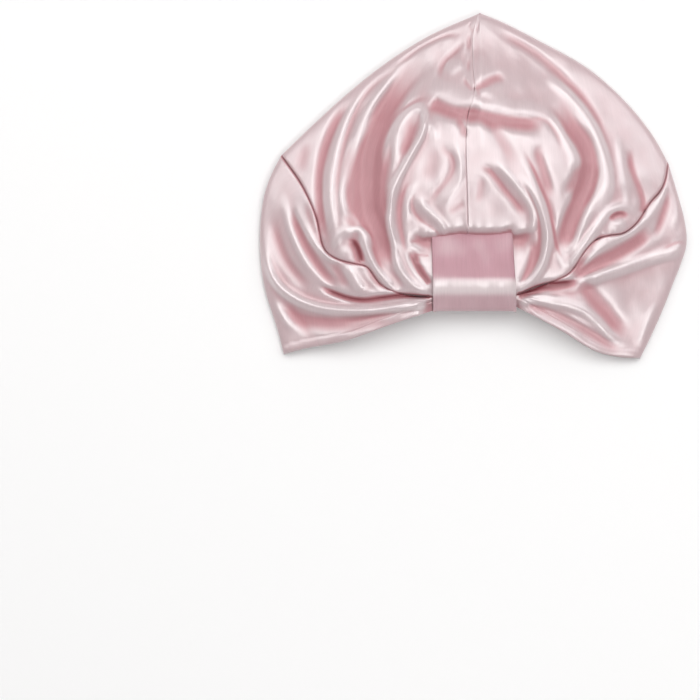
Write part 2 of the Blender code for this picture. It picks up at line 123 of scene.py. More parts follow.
def makeLights():
    # Soft panels that face the bonnet, in a room whose brightness changes evenly with height
    for name, (place, size, power, colour) in studio["lights"].items():
        lamp = bpy.data.lights.new(name, "AREA")
        lamp.shape = "RECTANGLE"
        lamp.size, lamp.size_y = size
        lamp.energy = power
        lamp.color = colour
        made = link(bpy.data.objects.new(name, lamp))
        made.location = place
        made.rotation_euler = (-Vector(place)).to_track_quat("-Z", "Y").to_euler()
    world = bpy.data.worlds.new("studio")
    world.use_nodes = True
    nodes, links = world.node_tree.nodes, world.node_tree.links
    sky = nodes["Background"]
    sky.inputs["Color"].default_value = (*studio["skyShade"], 1)
    direction = nodes.new("ShaderNodeTexCoord")
    parts = nodes.new("ShaderNodeSeparateXYZ")
    strength = nodes.new("ShaderNodeMapRange")
    strength.inputs["To Min"].default_value = studio["skyRound"]
    strength.inputs["To Max"].default_value = studio["skyAbove"]
    links.new(direction.outputs["Generated"], parts.inputs[0])
    links.new(parts.outputs["Z"], strength.inputs["Value"])
    links.new(strength.outputs["Result"], sky.inputs["Strength"])
    bpy.context.scene.world = world
    bpy.context.scene.view_settings.view_transform = "Standard"


makeCamera()
makeFloor()
makeLights()

print("stage: lines and folds")
tip = (0.015, 0.500)
centreFront = (tip, (0.000, 0.450), (-0.003, 0.350), (0.000, 0.265), (-0.014, 0.205), (-0.020, 0.140),
               (-0.018, 0.000), (-0.015, -0.143), (-0.015, -0.318))
centreBack = (tip, (0.032, 0.370), (0.055, 0.250), (0.045, 0.130), (-0.005, 0.020))
twistLine = ((-0.005, 0.020), (0.020, -0.060), (0.018, -0.150), (-0.012, -0.205), (-0.025, -0.283))
panels = {
    "left": {
        "sign": -1,
        "centreShare": 0.10,    # how far the cloth dips at the centre seam; below zero it stands up
        "crownEdge": (tip, (-0.100, 0.437), (-0.200, 0.360), (-0.300, 0.262), (-0.400, 0.148),
                      (-0.450, 0.088)),
        "wrapEdge": ((-0.450, 0.088), (-0.484, 0.000), (-0.500, -0.140), (-0.490, -0.290), (-0.458, -0.420),
                     (-0.444, -0.488)),
        "underLoop": ((-0.015, -0.318), (-0.096, -0.322)),
        "seam": ((-0.096, -0.322), (-0.160, -0.316), (-0.215, -0.290), (-0.252, -0.235), (-0.300, -0.222),
                 (-0.343, -0.195), (-0.370, -0.085), (-0.402, 0.002), (-0.450, 0.088)),
        "loopEdge": ((-0.096, -0.322), (-0.096, -0.362)),
        "hem": ((-0.096, -0.362), (-0.200, -0.405), (-0.300, -0.449), (-0.400, -0.473), (-0.444, -0.488)),
        "seamBack": ((-0.450, 0.088), (-0.405, 0.096), (-0.320, 0.122), (-0.200, 0.124), (-0.090, 0.096),
                     (-0.005, 0.020)),
        "hemBack": ((-0.444, -0.488), (-0.370, -0.440), (-0.2575, -0.394)), "hemBackCells": 5,
        "casingEnd": ((-0.2575, -0.394), (-0.2575, -0.348)),
        "casingSeam": ((-0.2575, -0.348), (-0.160, -0.320), (-0.025, -0.290)),
    },
    "right": {
        "sign": 1,
        "centreShare": -0.18,
        "crownEdge": (tip, (0.060, 0.478), (0.150, 0.422), (0.270, 0.338), (0.360, 0.238), (0.420, 0.145),
                      (0.456, 0.066)),
        "wrapEdge": ((0.456, 0.066), (0.486, -0.060), (0.500, -0.160), (0.470, -0.275), (0.422, -0.420),
                     (0.390, -0.500)),
        "underLoop": ((-0.015, -0.318), (0.094, -0.318)),
        "seam": ((0.094, -0.318), (0.160, -0.288), (0.222, -0.254), (0.258, -0.190), (0.290, -0.153),
                 (0.350, -0.138), (0.386, -0.100), (0.404, -0.062), (0.444, 0.000), (0.456, 0.066)),
        "loopEdge": ((0.094, -0.318), (0.094, -0.348)),
        "hem": ((0.094, -0.348), (0.200, -0.418), (0.290, -0.482), (0.345, -0.497), (0.390, -0.500)),
        "seamBack": ((0.456, 0.066), (0.330, 0.078), (0.200, 0.048), (0.090, 0.022), (-0.005, 0.020)),
        "hemBack": ((0.390, -0.500), (0.320, -0.474), (0.220, -0.368), (0.118, -0.337)), "hemBackCells": 6,
        "casingEnd": ((0.118, -0.337), (0.118, -0.298)),
        "casingSeam": ((0.118, -0.298), (0.050, -0.284), (-0.025, -0.290)),
    },
}
casingBottom = ((-0.2575, -0.392), (-0.150, -0.362), (0.000, -0.342), (0.118, -0.337))

# A fold: its line, its height, its widths to the left and right of the line, the share of a width that is
# flat on top, and the shares of its length over which each end fades. A height below zero is a valley.
Fold = namedtuple("Fold", "line height left right flat fadeIn fadeOut")
frontFolds = [
    # left half of the crown, from its edge inwards
    Fold(((-0.384, 0.135), (-0.400, 0.071), (-0.405, 0.028)), -0.17, 0.021, 0.026, 0, 0.4, 0.4),
    Fold(((-0.293, 0.255), (-0.312, 0.209), (-0.333, 0.152), (-0.349, 0.094), (-0.359, 0.028),
          (-0.359, -0.044), (-0.352, -0.115), (-0.342, -0.181)), -0.46, 0.012, 0.019, 0.2, 0.2, 0.2),
    Fold(((-0.238, 0.307), (-0.284, 0.221), (-0.312, 0.143), (-0.328, 0.071), (-0.335, -0.000),
          (-0.333, -0.072), (-0.326, -0.135), (-0.319, -0.187)), 0.32, 0.014, 0.012, 0, 0.3, 0.2),
    Fold(((-0.177, 0.344), (-0.224, 0.301), (-0.261, 0.250), (-0.284, 0.192), (-0.300, 0.129),
          (-0.312, 0.057), (-0.319, -0.015), (-0.314, -0.078),
          (-0.293, -0.118)), -0.23, 0.009, 0.009, 0, 0.25, 0.3),
    Fold(((-0.163, 0.342), (-0.207, 0.287), (-0.242, 0.229), (-0.266, 0.172), (-0.282, 0.100),
          (-0.296, 0.028), (-0.305, -0.029), (-0.296, -0.078), (-0.266, -0.113),
          (-0.238, -0.138)), 0.26, 0.016, 0.014, 0, 0.25, 0.2),
    Fold(((-0.103, 0.359), (-0.138, 0.330), (-0.177, 0.267), (-0.210, 0.201), (-0.233, 0.129),
          (-0.245, 0.057), (-0.249, -0.015), (-0.245, -0.078), (-0.224, -0.135), (-0.205, -0.193),
          (-0.193, -0.250)), -0.98, 0.033, 0.035, 0.3, 0.3, 0.12),
    Fold(((-0.219, 0.163), (-0.242, 0.071), (-0.252, -0.015), (-0.242, -0.092),
          (-0.219, -0.164)), -0.69, 0.058, 0.065, 0.62, 0.4, 0.3),
    # the ridges round the bowl above the loop, left
    Fold(((-0.096, 0.252), (-0.126, 0.244), (-0.161, 0.221), (-0.184, 0.195), (-0.200, 0.163),
          (-0.210, 0.123), (-0.214, 0.077)), -0.20, 0.007, 0.009, 0, 0.25, 0.4),
    Fold(((-0.103, 0.232), (-0.145, 0.215), (-0.170, 0.181), (-0.182, 0.129), (-0.184, 0.071),
          (-0.189, 0.014)), 0.35, 0.014, 0.014, 0, 0.2, 0.4),
    Fold(((-0.138, 0.195), (-0.145, 0.158), (-0.156, 0.115),
          (-0.170, 0.071)), -0.35, 0.014, 0.019, 0.2, 0.3, 0.3),
    Fold(((-0.149, 0.232), (-0.119, 0.209), (-0.117, 0.175), (-0.126, 0.135), (-0.145, 0.094),
          (-0.161, 0.057), (-0.177, 0.020), (-0.191, -0.021), (-0.198, -0.067), (-0.198, -0.118),
          (-0.191, -0.173), (-0.180, -0.227), (-0.159, -0.271), (-0.128, -0.302),
          (-0.100, -0.317)), 0.92, 0.014, 0.012, 0, 0.12, 0.04),
    Fold(((-0.145, 0.020), (-0.163, -0.015), (-0.173, -0.058), (-0.173, -0.115), (-0.163, -0.173),
          (-0.145, -0.222), (-0.117, -0.279)), -0.40, 0.009, 0.009, 0, 0.2, 0.1),
    Fold(((-0.126, 0.014), (-0.145, -0.021), (-0.156, -0.067),
          (-0.161, -0.118)), 0.23, 0.009, 0.009, 0, 0.3, 0.3),
    Fold(((-0.163, -0.147), (-0.154, -0.204), (-0.135, -0.256),
          (-0.107, -0.302)), 0.40, 0.007, 0.009, 0, 0.3, 0.05),
    Fold(((-0.149, -0.187), (-0.131, -0.239), (-0.105, -0.291)), -0.46, 0.016, 0.007, 0.2, 0.3, 0.1),
    # inside the bowl, left of the centre seam
    Fold(((-0.140, -0.015), (-0.147, -0.052), (-0.140, -0.081), (-0.121, -0.107), (-0.098, -0.127),
          (-0.077, -0.147)), -0.32, 0.007, 0.007, 0, 0.2, 0.1),
    Fold(((-0.131, -0.032), (-0.121, -0.061), (-0.100, -0.087), (-0.080, -0.113),
          (-0.066, -0.141)), 0.43, 0.012, 0.009, 0, 0.25, 0.03),
    Fold(((-0.100, -0.092), (-0.084, -0.118), (-0.073, -0.147)), -0.14, 0.005, 0.005, 0, 0.3, 0.05),
    Fold(((-0.131, -0.107), (-0.107, -0.127), (-0.089, -0.150)), 0.20, 0.007, 0.007, 0, 0.3, 0.05),
    Fold(((-0.077, 0.132), (-0.070, 0.100), (-0.056, 0.083), (-0.049, 0.057), (-0.052, 0.031),
          (-0.066, 0.005), (-0.084, -0.023), (-0.098, -0.049),
          (-0.103, -0.069)), -0.26, 0.007, 0.016, 0, 0.3, 0.25),
    Fold(((-0.093, 0.115), (-0.100, 0.057), (-0.117, -0.000)), -0.17, 0.033, 0.028, 0, 0.35, 0.35),
    Fold(((-0.063, 0.137), (-0.042, 0.097), (-0.033, 0.051), (-0.038, 0.008), (-0.059, -0.032),
          (-0.075, -0.067)), 0.26, 0.014, 0.009, 0, 0.3, 0.3),
    Fold(((-0.063, -0.084), (-0.042, -0.067), (-0.024, -0.055)), -0.14, 0.012, 0.014, 0, 0.3, 0.1),
    Fold(((-0.114, 0.186), (-0.098, 0.158), (-0.089, 0.123)), 0.23, 0.019, 0.016, 0, 0.3, 0.3),
    # hollows under the fold across the centre seam
    Fold(((-0.121, 0.273), (-0.080, 0.273), (-0.045, 0.258), (-0.012, 0.244),
          (0.007, 0.238)), 0.14, 0.033, 0.021, 0, 0.3, 0.18),
    Fold(((-0.103, 0.241), (-0.080, 0.224), (-0.052, 0.209), (-0.014, 0.201),
          (0.009, 0.195)), -0.64, 0.023, 0.030, 0, 0.15, 0.2),
    Fold(((-0.042, 0.192), (-0.026, 0.163), (-0.021, 0.129)), -0.35, 0.009, 0.019, 0, 0.3, 0.3),
    Fold(((-0.073, 0.218), (-0.045, 0.209), (-0.019, 0.192)), 0.14, 0.004, 0.004, 0, 0.3, 0.05),
    Fold(((-0.021, 0.247), (-0.000, 0.241), (0.037, 0.232), (0.088, 0.221), (0.141, 0.209),
          (0.172, 0.204)), 0.12, 0.033, 0.021, 0, 0.14, 0.3),
    Fold(((-0.024, 0.201), (-0.000, 0.201), (0.037, 0.192), (0.083, 0.181), (0.130, 0.175),
          (0.167, 0.183)), -0.58, 0.023, 0.033, 0, 0.15, 0.25),
    Fold(((0.013, 0.186), (0.041, 0.163), (0.060, 0.129), (0.079, 0.086),
          (0.093, 0.037)), -0.26, 0.026, 0.021, 0, 0.2, 0.4),
    # puckers of the centre seam, and folds near the tip
    Fold(((-0.000, 0.267), (0.018, 0.287), (0.046, 0.307),
          (0.076, 0.313)), -0.35, 0.012, 0.019, 0.1, 0.05, 0.3),
    Fold(((-0.000, 0.267), (0.023, 0.270), (0.044, 0.273)), 0.23, 0.009, 0.009, 0, 0.05, 0.5),
    Fold(((0.002, 0.261), (0.023, 0.247), (0.055, 0.238)), -0.14, 0.012, 0.014, 0, 0.05, 0.5),
    Fold(((-0.005, 0.270), (-0.019, 0.293), (-0.026, 0.313)), -0.20, 0.007, 0.007, 0, 0.05, 0.4),
    Fold(((-0.010, 0.439), (-0.012, 0.390)), -0.17, 0.007, 0.009, 0, 0.3, 0.2),
    Fold(((-0.012, 0.365), (-0.014, 0.324)), -0.14, 0.007, 0.007, 0, 0.3, 0.3),
    Fold(((-0.068, 0.330), (-0.045, 0.342), (-0.024, 0.353)), 0.13, 0.019, 0.019, 0.2, 0.3, 0.2),
    Fold(((-0.028, 0.433), (-0.061, 0.436), (-0.091, 0.422), (-0.126, 0.399), (-0.161, 0.367),
          (-0.191, 0.342)), -0.29, 0.009, 0.007, 0, 0.2, 0.3),
    Fold(((-0.019, 0.416), (-0.045, 0.382), (-0.066, 0.359), (-0.077, 0.330),
          (-0.077, 0.296)), -0.23, 0.009, 0.014, 0, 0.3, 0.3),
    Fold(((-0.005, 0.482), (-0.010, 0.462), (-0.000, 0.442)), -0.17, 0.004, 0.004, 0, 0.2, 0.2),
    Fold(((0.009, 0.482), (0.011, 0.462), (0.004, 0.442)), -0.14, 0.004, 0.004, 0, 0.2, 0.2),
    Fold(((0.053, 0.451), (0.095, 0.422), (0.141, 0.388), (0.176, 0.353), (0.213, 0.310), (0.246, 0.267),
          (0.274, 0.221), (0.293, 0.181), (0.309, 0.129),
          (0.320, 0.071)), -0.29, 0.012, 0.021, 0, 0.15, 0.35),
    # right half of the crown, from its edge inwards
    Fold(((0.334, 0.152), (0.341, 0.086), (0.348, 0.028), (0.355, -0.029),
          (0.358, -0.061)), 0.23, 0.012, 0.014, 0, 0.3, 0.1),
    Fold(((0.367, 0.112), (0.367, 0.071), (0.376, 0.028), (0.390, -0.015), (0.397, -0.052),
          (0.393, -0.081)), -0.40, 0.009, 0.014, 0.1, 0.25, 0.05),
    Fold(((0.165, 0.316), (0.211, 0.273), (0.251, 0.221), (0.276, 0.172), (0.295, 0.115), (0.307, 0.057),
          (0.311, -0.000), (0.302, -0.044), (0.279, -0.084)), 0.40, 0.019, 0.019, 0.1, 0.2, 0.2),
    Fold(((0.172, 0.258), (0.204, 0.209), (0.227, 0.163), (0.251, 0.123), (0.265, 0.077), (0.267, 0.031),
          (0.258, -0.015), (0.239, -0.058), (0.223, -0.107), (0.213, -0.158),
          (0.211, -0.199)), -0.92, 0.030, 0.028, 0.3, 0.3, 0.12),
    Fold(((0.265, 0.071), (0.253, 0.008), (0.227, -0.055)), -0.46, 0.037, 0.042, 0.45, 0.35, 0.35),
    Fold(((0.130, 0.192), (0.165, 0.183), (0.183, 0.160), (0.195, 0.132),
          (0.202, 0.092)), -0.23, 0.007, 0.007, 0, 0.2, 0.4),
    Fold(((0.172, 0.204), (0.200, 0.160), (0.218, 0.112), (0.230, 0.063),
          (0.220, 0.023)), 0.26, 0.014, 0.014, 0, 0.25, 0.25),
    Fold(((0.153, 0.126), (0.148, 0.086), (0.158, 0.043), (0.169, -0.003),
          (0.179, -0.052)), -0.38, 0.016, 0.019, 0.1, 0.3, 0.3),
    Fold(((0.113, 0.094), (0.137, 0.040), (0.155, -0.012), (0.172, -0.061), (0.181, -0.115),
          (0.190, -0.173), (0.204, -0.222)), -0.40, 0.007, 0.007, 0, 0.2, 0.1),
    Fold(((0.100, 0.092), (0.127, 0.025), (0.151, -0.032), (0.167, -0.090), (0.176, -0.144),
          (0.186, -0.193)), 0.35, 0.007, 0.009, 0, 0.3, 0.2),
    # the ridges round the bowl above the loop, right
    Fold(((0.088, 0.037), (0.116, 0.002), (0.139, -0.038), (0.155, -0.084), (0.165, -0.135),
          (0.165, -0.187), (0.153, -0.233), (0.130, -0.273),
          (0.100, -0.308)), 0.87, 0.016, 0.012, 0, 0.3, 0.04),
    Fold(((0.095, 0.020), (0.123, -0.023), (0.141, -0.067), (0.148, -0.107), (0.151, -0.158),
          (0.146, -0.210), (0.130, -0.250)), -0.35, 0.007, 0.007, 0, 0.25, 0.2),
    Fold(((0.037, 0.071), (0.060, 0.048), (0.088, 0.011), (0.116, -0.032), (0.134, -0.072),
          (0.139, -0.107), (0.130, -0.135)), 0.43, 0.012, 0.012, 0, 0.25, 0.05),
    Fold(((0.007, 0.046), (0.030, 0.043), (0.053, 0.014), (0.076, -0.023), (0.100, -0.058),
          (0.120, -0.092)), -0.35, 0.007, 0.016, 0, 0.2, 0.2),
    Fold(((0.013, 0.025), (0.011, -0.015), (0.004, -0.061)), -0.17, 0.019, 0.009, 0, 0.3, 0.3),
    Fold(((0.190, -0.176), (0.200, -0.216), (0.213, -0.242)), 0.35, 0.007, 0.007, 0, 0.3, 0.1),
    Fold(((0.279, -0.058), (0.255, -0.107), (0.237, -0.153),
          (0.220, -0.204)), 0.35, 0.012, 0.016, 0, 0.3, 0.2),
    # the right swirl
    Fold(((0.213, -0.245), (0.239, -0.202), (0.265, -0.156), (0.288, -0.118), (0.309, -0.087),
          (0.332, -0.067), (0.360, -0.067), (0.379, -0.084)), 0.58, 0.012, 0.009, 0, 0.15, 0.2),
    Fold(((0.313, -0.104), (0.323, -0.087), (0.341, -0.081),
          (0.362, -0.090)), -0.52, 0.008, 0.014, 0, 0.2, 0.3),
    Fold(((0.316, -0.130), (0.334, -0.115), (0.355, -0.115)), 0.38, 0.016, 0.016, 0, 0.3, 0.3),
    Fold(((0.302, -0.135), (0.281, -0.167), (0.260, -0.204),
          (0.239, -0.239)), -0.26, 0.009, 0.007, 0, 0.2, 0.1),
    # the left swirl and its tongue
    Fold(((-0.326, -0.193), (-0.324, -0.170), (-0.312, -0.144), (-0.291, -0.130), (-0.268, -0.130),
          (-0.249, -0.147), (-0.245, -0.176)), 0.58, 0.010, 0.010, 0, 0.2, 0.15),
    Fold(((-0.266, -0.135), (-0.256, -0.170), (-0.245, -0.207), (-0.228, -0.242), (-0.207, -0.276),
          (-0.187, -0.299)), 0.66, 0.012, 0.009, 0, 0.15, 0.1),
    Fold(((-0.298, -0.161), (-0.280, -0.164), (-0.268, -0.187),
          (-0.261, -0.222)), -0.69, 0.009, 0.021, 0.1, 0.3, 0.05),
    Fold(((-0.317, -0.190), (-0.300, -0.199)), 0.23, 0.019, 0.014, 0.1, 0.3, 0.3),
    Fold(((-0.238, -0.170), (-0.226, -0.207), (-0.214, -0.245)), -0.32, 0.007, 0.007, 0, 0.25, 0.25),
    # left wrap
    Fold(((-0.396, -0.044), (-0.382, -0.095), (-0.368, -0.144),
          (-0.354, -0.181)), -0.17, 0.009, 0.009, 0, 0.25, 0.1),
    Fold(((-0.414, -0.055), (-0.405, -0.098), (-0.389, -0.133), (-0.373, -0.164), (-0.354, -0.193),
          (-0.333, -0.213), (-0.312, -0.225)), 0.40, 0.009, 0.012, 0, 0.15, 0.2),
    Fold(((-0.426, -0.067), (-0.414, -0.115), (-0.398, -0.164), (-0.373, -0.216), (-0.338, -0.271),
          (-0.305, -0.302)), -0.43, 0.019, 0.014, 0.2, 0.2, 0.25),
    Fold(((-0.445, -0.009), (-0.440, -0.061), (-0.431, -0.115), (-0.414, -0.170), (-0.393, -0.222),
          (-0.366, -0.273)), 0.29, 0.012, 0.012, 0, 0.25, 0.3),
    Fold(((-0.466, -0.087), (-0.461, -0.135), (-0.449, -0.181), (-0.433, -0.222), (-0.407, -0.265),
          (-0.373, -0.302)), -0.26, 0.016, 0.019, 0.1, 0.3, 0.3),
    Fold(((-0.489, -0.115), (-0.491, -0.181), (-0.482, -0.239), (-0.461, -0.282), (-0.431, -0.317),
          (-0.391, -0.342), (-0.345, -0.357), (-0.298, -0.362), (-0.252, -0.362), (-0.205, -0.357),
          (-0.154, -0.348), (-0.100, -0.337)), 0.81, 0.016, 0.016, 0.1, 0.2, 0.03),
    Fold(((-0.363, -0.291), (-0.331, -0.308), (-0.293, -0.325), (-0.256, -0.331), (-0.214, -0.325),
          (-0.173, -0.319), (-0.135, -0.319), (-0.100, -0.322)), -1.04, 0.008, 0.009, 0, 0.15, 0.02),
    Fold(((-0.331, -0.222), (-0.314, -0.259), (-0.293, -0.299)), -0.20, 0.016, 0.016, 0, 0.3, 0.3),
    Fold(((-0.300, -0.227), (-0.282, -0.268), (-0.261, -0.308)), 0.38, 0.019, 0.016, 0.1, 0.2, 0.15),
    Fold(((-0.252, -0.239), (-0.231, -0.276), (-0.210, -0.302)), -0.23, 0.012, 0.009, 0, 0.2, 0.3),
    Fold(((-0.261, -0.311), (-0.219, -0.311), (-0.173, -0.305),
          (-0.114, -0.314)), 0.23, 0.007, 0.007, 0, 0.2, 0.1),
    Fold(((-0.456, -0.340), (-0.405, -0.380), (-0.347, -0.394), (-0.289, -0.394), (-0.231, -0.385),
          (-0.168, -0.368)), -0.38, 0.016, 0.030, 0.2, 0.25, 0.25),
    Fold(((-0.473, -0.331), (-0.447, -0.374), (-0.417, -0.420)), 0.29, 0.012, 0.014, 0, 0.3, 0.3),
    Fold(((-0.442, -0.340), (-0.412, -0.388), (-0.377, -0.437)), -0.20, 0.019, 0.016, 0, 0.3, 0.3),
    Fold(((-0.317, -0.411), (-0.247, -0.397), (-0.168, -0.374)), 0.14, 0.012, 0.014, 0, 0.3, 0.3),
    # right wrap
    Fold(((0.451, 0.005), (0.434, -0.041), (0.411, -0.084), (0.388, -0.113), (0.358, -0.141),
          (0.325, -0.158), (0.293, -0.179), (0.269, -0.210),
          (0.241, -0.248)), 0.35, 0.012, 0.007, 0, 0.1, 0.1),
    Fold(((0.458, -0.009), (0.451, -0.058), (0.437, -0.107),
          (0.420, -0.158)), -0.32, 0.012, 0.014, 0.1, 0.3, 0.25),
    Fold(((0.423, -0.124), (0.386, -0.161), (0.339, -0.196), (0.297, -0.222), (0.258, -0.245),
          (0.218, -0.265)), -0.55, 0.021, 0.028, 0.2, 0.2, 0.15),
    Fold(((0.476, -0.015), (0.479, -0.072), (0.469, -0.130)), 0.23, 0.009, 0.014, 0, 0.3, 0.3),
    Fold(((0.497, -0.164), (0.479, -0.164), (0.460, -0.173),
          (0.439, -0.187)), -0.29, 0.006, 0.006, 0, 0.1, 0.3),
    Fold(((0.495, -0.153), (0.476, -0.156), (0.455, -0.164)), 0.17, 0.006, 0.007, 0, 0.1, 0.4),
    Fold(((0.493, -0.176), (0.437, -0.196), (0.388, -0.216), (0.334, -0.239), (0.288, -0.256),
          (0.246, -0.273)), 0.55, 0.026, 0.008, 0.1, 0.1, 0.15),
    Fold(((0.100, -0.317), (0.153, -0.291), (0.200, -0.282),
          (0.251, -0.276)), -0.81, 0.007, 0.021, 0.15, 0.03, 0.25),
    Fold(((0.165, -0.305), (0.211, -0.308), (0.253, -0.314)), -0.23, 0.014, 0.016, 0.1, 0.3, 0.3),
    Fold(((0.241, -0.273), (0.269, -0.311), (0.295, -0.348), (0.320, -0.385), (0.344, -0.420),
          (0.362, -0.449)), -0.43, 0.026, 0.028, 0.2, 0.2, 0.3),
    Fold(((0.100, -0.328), (0.146, -0.331), (0.200, -0.340), (0.246, -0.357), (0.288, -0.391),
          (0.323, -0.437), (0.355, -0.475)), 0.35, 0.019, 0.019, 0.1, 0.05, 0.25),
    Fold(((0.111, -0.342), (0.165, -0.360), (0.211, -0.383), (0.258, -0.414), (0.307, -0.449),
          (0.353, -0.477)), -0.32, 0.012, 0.021, 0, 0.1, 0.2),
    Fold(((0.367, -0.222), (0.376, -0.245)), -0.14, 0.009, 0.009, 0, 0.4, 0.4),
    Fold(((0.390, -0.305), (0.418, -0.305)), -0.06, 0.005, 0.005, 0, 0.4, 0.4),
    Fold(((0.386, -0.460), (0.404, -0.403), (0.432, -0.331)), 0.17, 0.012, 0.014, 0, 0.3, 0.4),
    # beside the loop
    Fold(((-0.152, -0.179), (-0.133, -0.181), (-0.107, -0.187)), 0.32, 0.007, 0.007, 0, 0.25, 0.02),
    Fold(((-0.154, -0.164), (-0.110, -0.161)), -0.29, 0.006, 0.006, 0, 0.25, 0.02),
    Fold(((-0.145, -0.202), (-0.107, -0.204)), -0.26, 0.005, 0.005, 0, 0.25, 0.02),
    Fold(((-0.142, -0.219), (-0.124, -0.225), (-0.103, -0.230)), 0.32, 0.008, 0.008, 0, 0.25, 0.02),
    Fold(((0.102, -0.164), (0.107, -0.187), (0.102, -0.222)), 0.26, 0.012, 0.009, 0, 0.3, 0.3),
    Fold(((0.134, -0.152), (0.136, -0.195), (0.127, -0.240),
          (0.110, -0.288)), -0.42, 0.017, 0.011, 0.2, 0.25, 0.12),
]

backFolds = [
    Fold(((-0.395, 0.205), (-0.300, 0.212), (-0.200, 0.206),
          (-0.105, 0.215)), 0.34, 0.040, 0.012, 0, 0.15, 0.25),
    Fold(((-0.380, 0.180), (-0.280, 0.182), (-0.190, 0.186),
          (-0.110, 0.180)), -0.40, 0.012, 0.026, 0, 0.15, 0.25),
    Fold(((-0.105, 0.195), (-0.060, 0.190), (-0.020, 0.165),
          (0.030, 0.105)), 0.42, 0.018, 0.018, 0, 0.2, 0.15),
    Fold(((-0.095, 0.160), (-0.050, 0.135), (0.000, 0.110),
          (0.022, 0.080)), 0.34, 0.012, 0.012, 0, 0.2, 0.15),
    Fold(((-0.030, 0.170), (0.000, 0.150), (0.030, 0.125)), -0.70, 0.018, 0.014, 0, 0.3, 0.25),
    Fold(((-0.060, 0.085), (-0.035, 0.070), (-0.010, 0.078)), -0.70, 0.014, 0.014, 0, 0.3, 0.3),
    Fold(((0.120, 0.430), (0.130, 0.350), (0.100, 0.260), (0.070, 0.150),
          (0.030, 0.080)), 0.52, 0.030, 0.020, 0, 0.15, 0.15),
    Fold(((0.095, 0.420), (0.090, 0.340), (0.068, 0.240)), -0.44, 0.018, 0.018, 0, 0.25, 0.25),
    Fold(((-0.345, -0.040), (-0.320, 0.010), (-0.250, 0.040), (-0.150, 0.050),
          (-0.030, 0.010)), 0.44, 0.020, 0.028, 0, 0.2, 0.15),
    Fold(((-0.320, -0.060), (-0.260, -0.010), (-0.150, 0.000),
          (-0.050, -0.010)), -0.46, 0.022, 0.024, 0, 0.2, 0.25),
    Fold(((-0.275, -0.075), (-0.230, -0.045), (-0.165, -0.065), (-0.130, -0.140),
          (-0.090, -0.225)), 0.36, 0.018, 0.018, 0, 0.2, 0.15),
    Fold(((-0.330, -0.090), (-0.260, -0.190), (-0.205, -0.290)), 0.30, 0.024, 0.020, 0, 0.2, 0.15),
    Fold(((-0.380, -0.080), (-0.300, -0.220), (-0.240, -0.310)), -0.42, 0.030, 0.024, 0, 0.25, 0.1),
    Fold(((-0.260, -0.120), (-0.200, -0.240), (-0.160, -0.310)), -0.46, 0.020, 0.020, 0, 0.25, 0.1),
    Fold(((-0.140, -0.100), (-0.120, -0.180), (-0.080, -0.240)), -0.42, 0.020, 0.018, 0, 0.25, 0.2),
    Fold(((-0.480, -0.130), (-0.380, -0.260), (-0.270, -0.330)), -0.30, 0.030, 0.030, 0, 0.3, 0.2),
    Fold(((0.040, 0.000), (0.055, -0.060), (0.040, -0.130),
          (0.015, -0.165)), -0.52, 0.014, 0.018, 0, 0.2, 0.2),
    Fold(((0.070, -0.040), (0.075, -0.100), (0.040, -0.160)), 0.30, 0.016, 0.016, 0, 0.25, 0.25),
    Fold(((0.080, -0.160), (0.110, -0.110), (0.150, -0.045), (0.200, -0.030),
          (0.230, -0.060)), 0.42, 0.026, 0.022, 0, 0.25, 0.25),
    Fold(((0.130, -0.170), (0.160, -0.130), (0.195, -0.140),
          (0.205, -0.180)), -0.50, 0.022, 0.018, 0, 0.3, 0.3),
    Fold(((0.270, -0.230), (0.320, -0.130), (0.380, -0.070), (0.430, -0.070), (0.440, -0.160),
          (0.400, -0.260)), 0.40, 0.020, 0.020, 0, 0.2, 0.2),
    Fold(((0.310, -0.290), (0.340, -0.200), (0.395, -0.100)), -0.50, 0.026, 0.024, 0, 0.25, 0.25),
    Fold(((0.460, 0.000), (0.300, -0.030), (0.200, -0.020)), -0.30, 0.030, 0.030, 0, 0.3, 0.3),
]

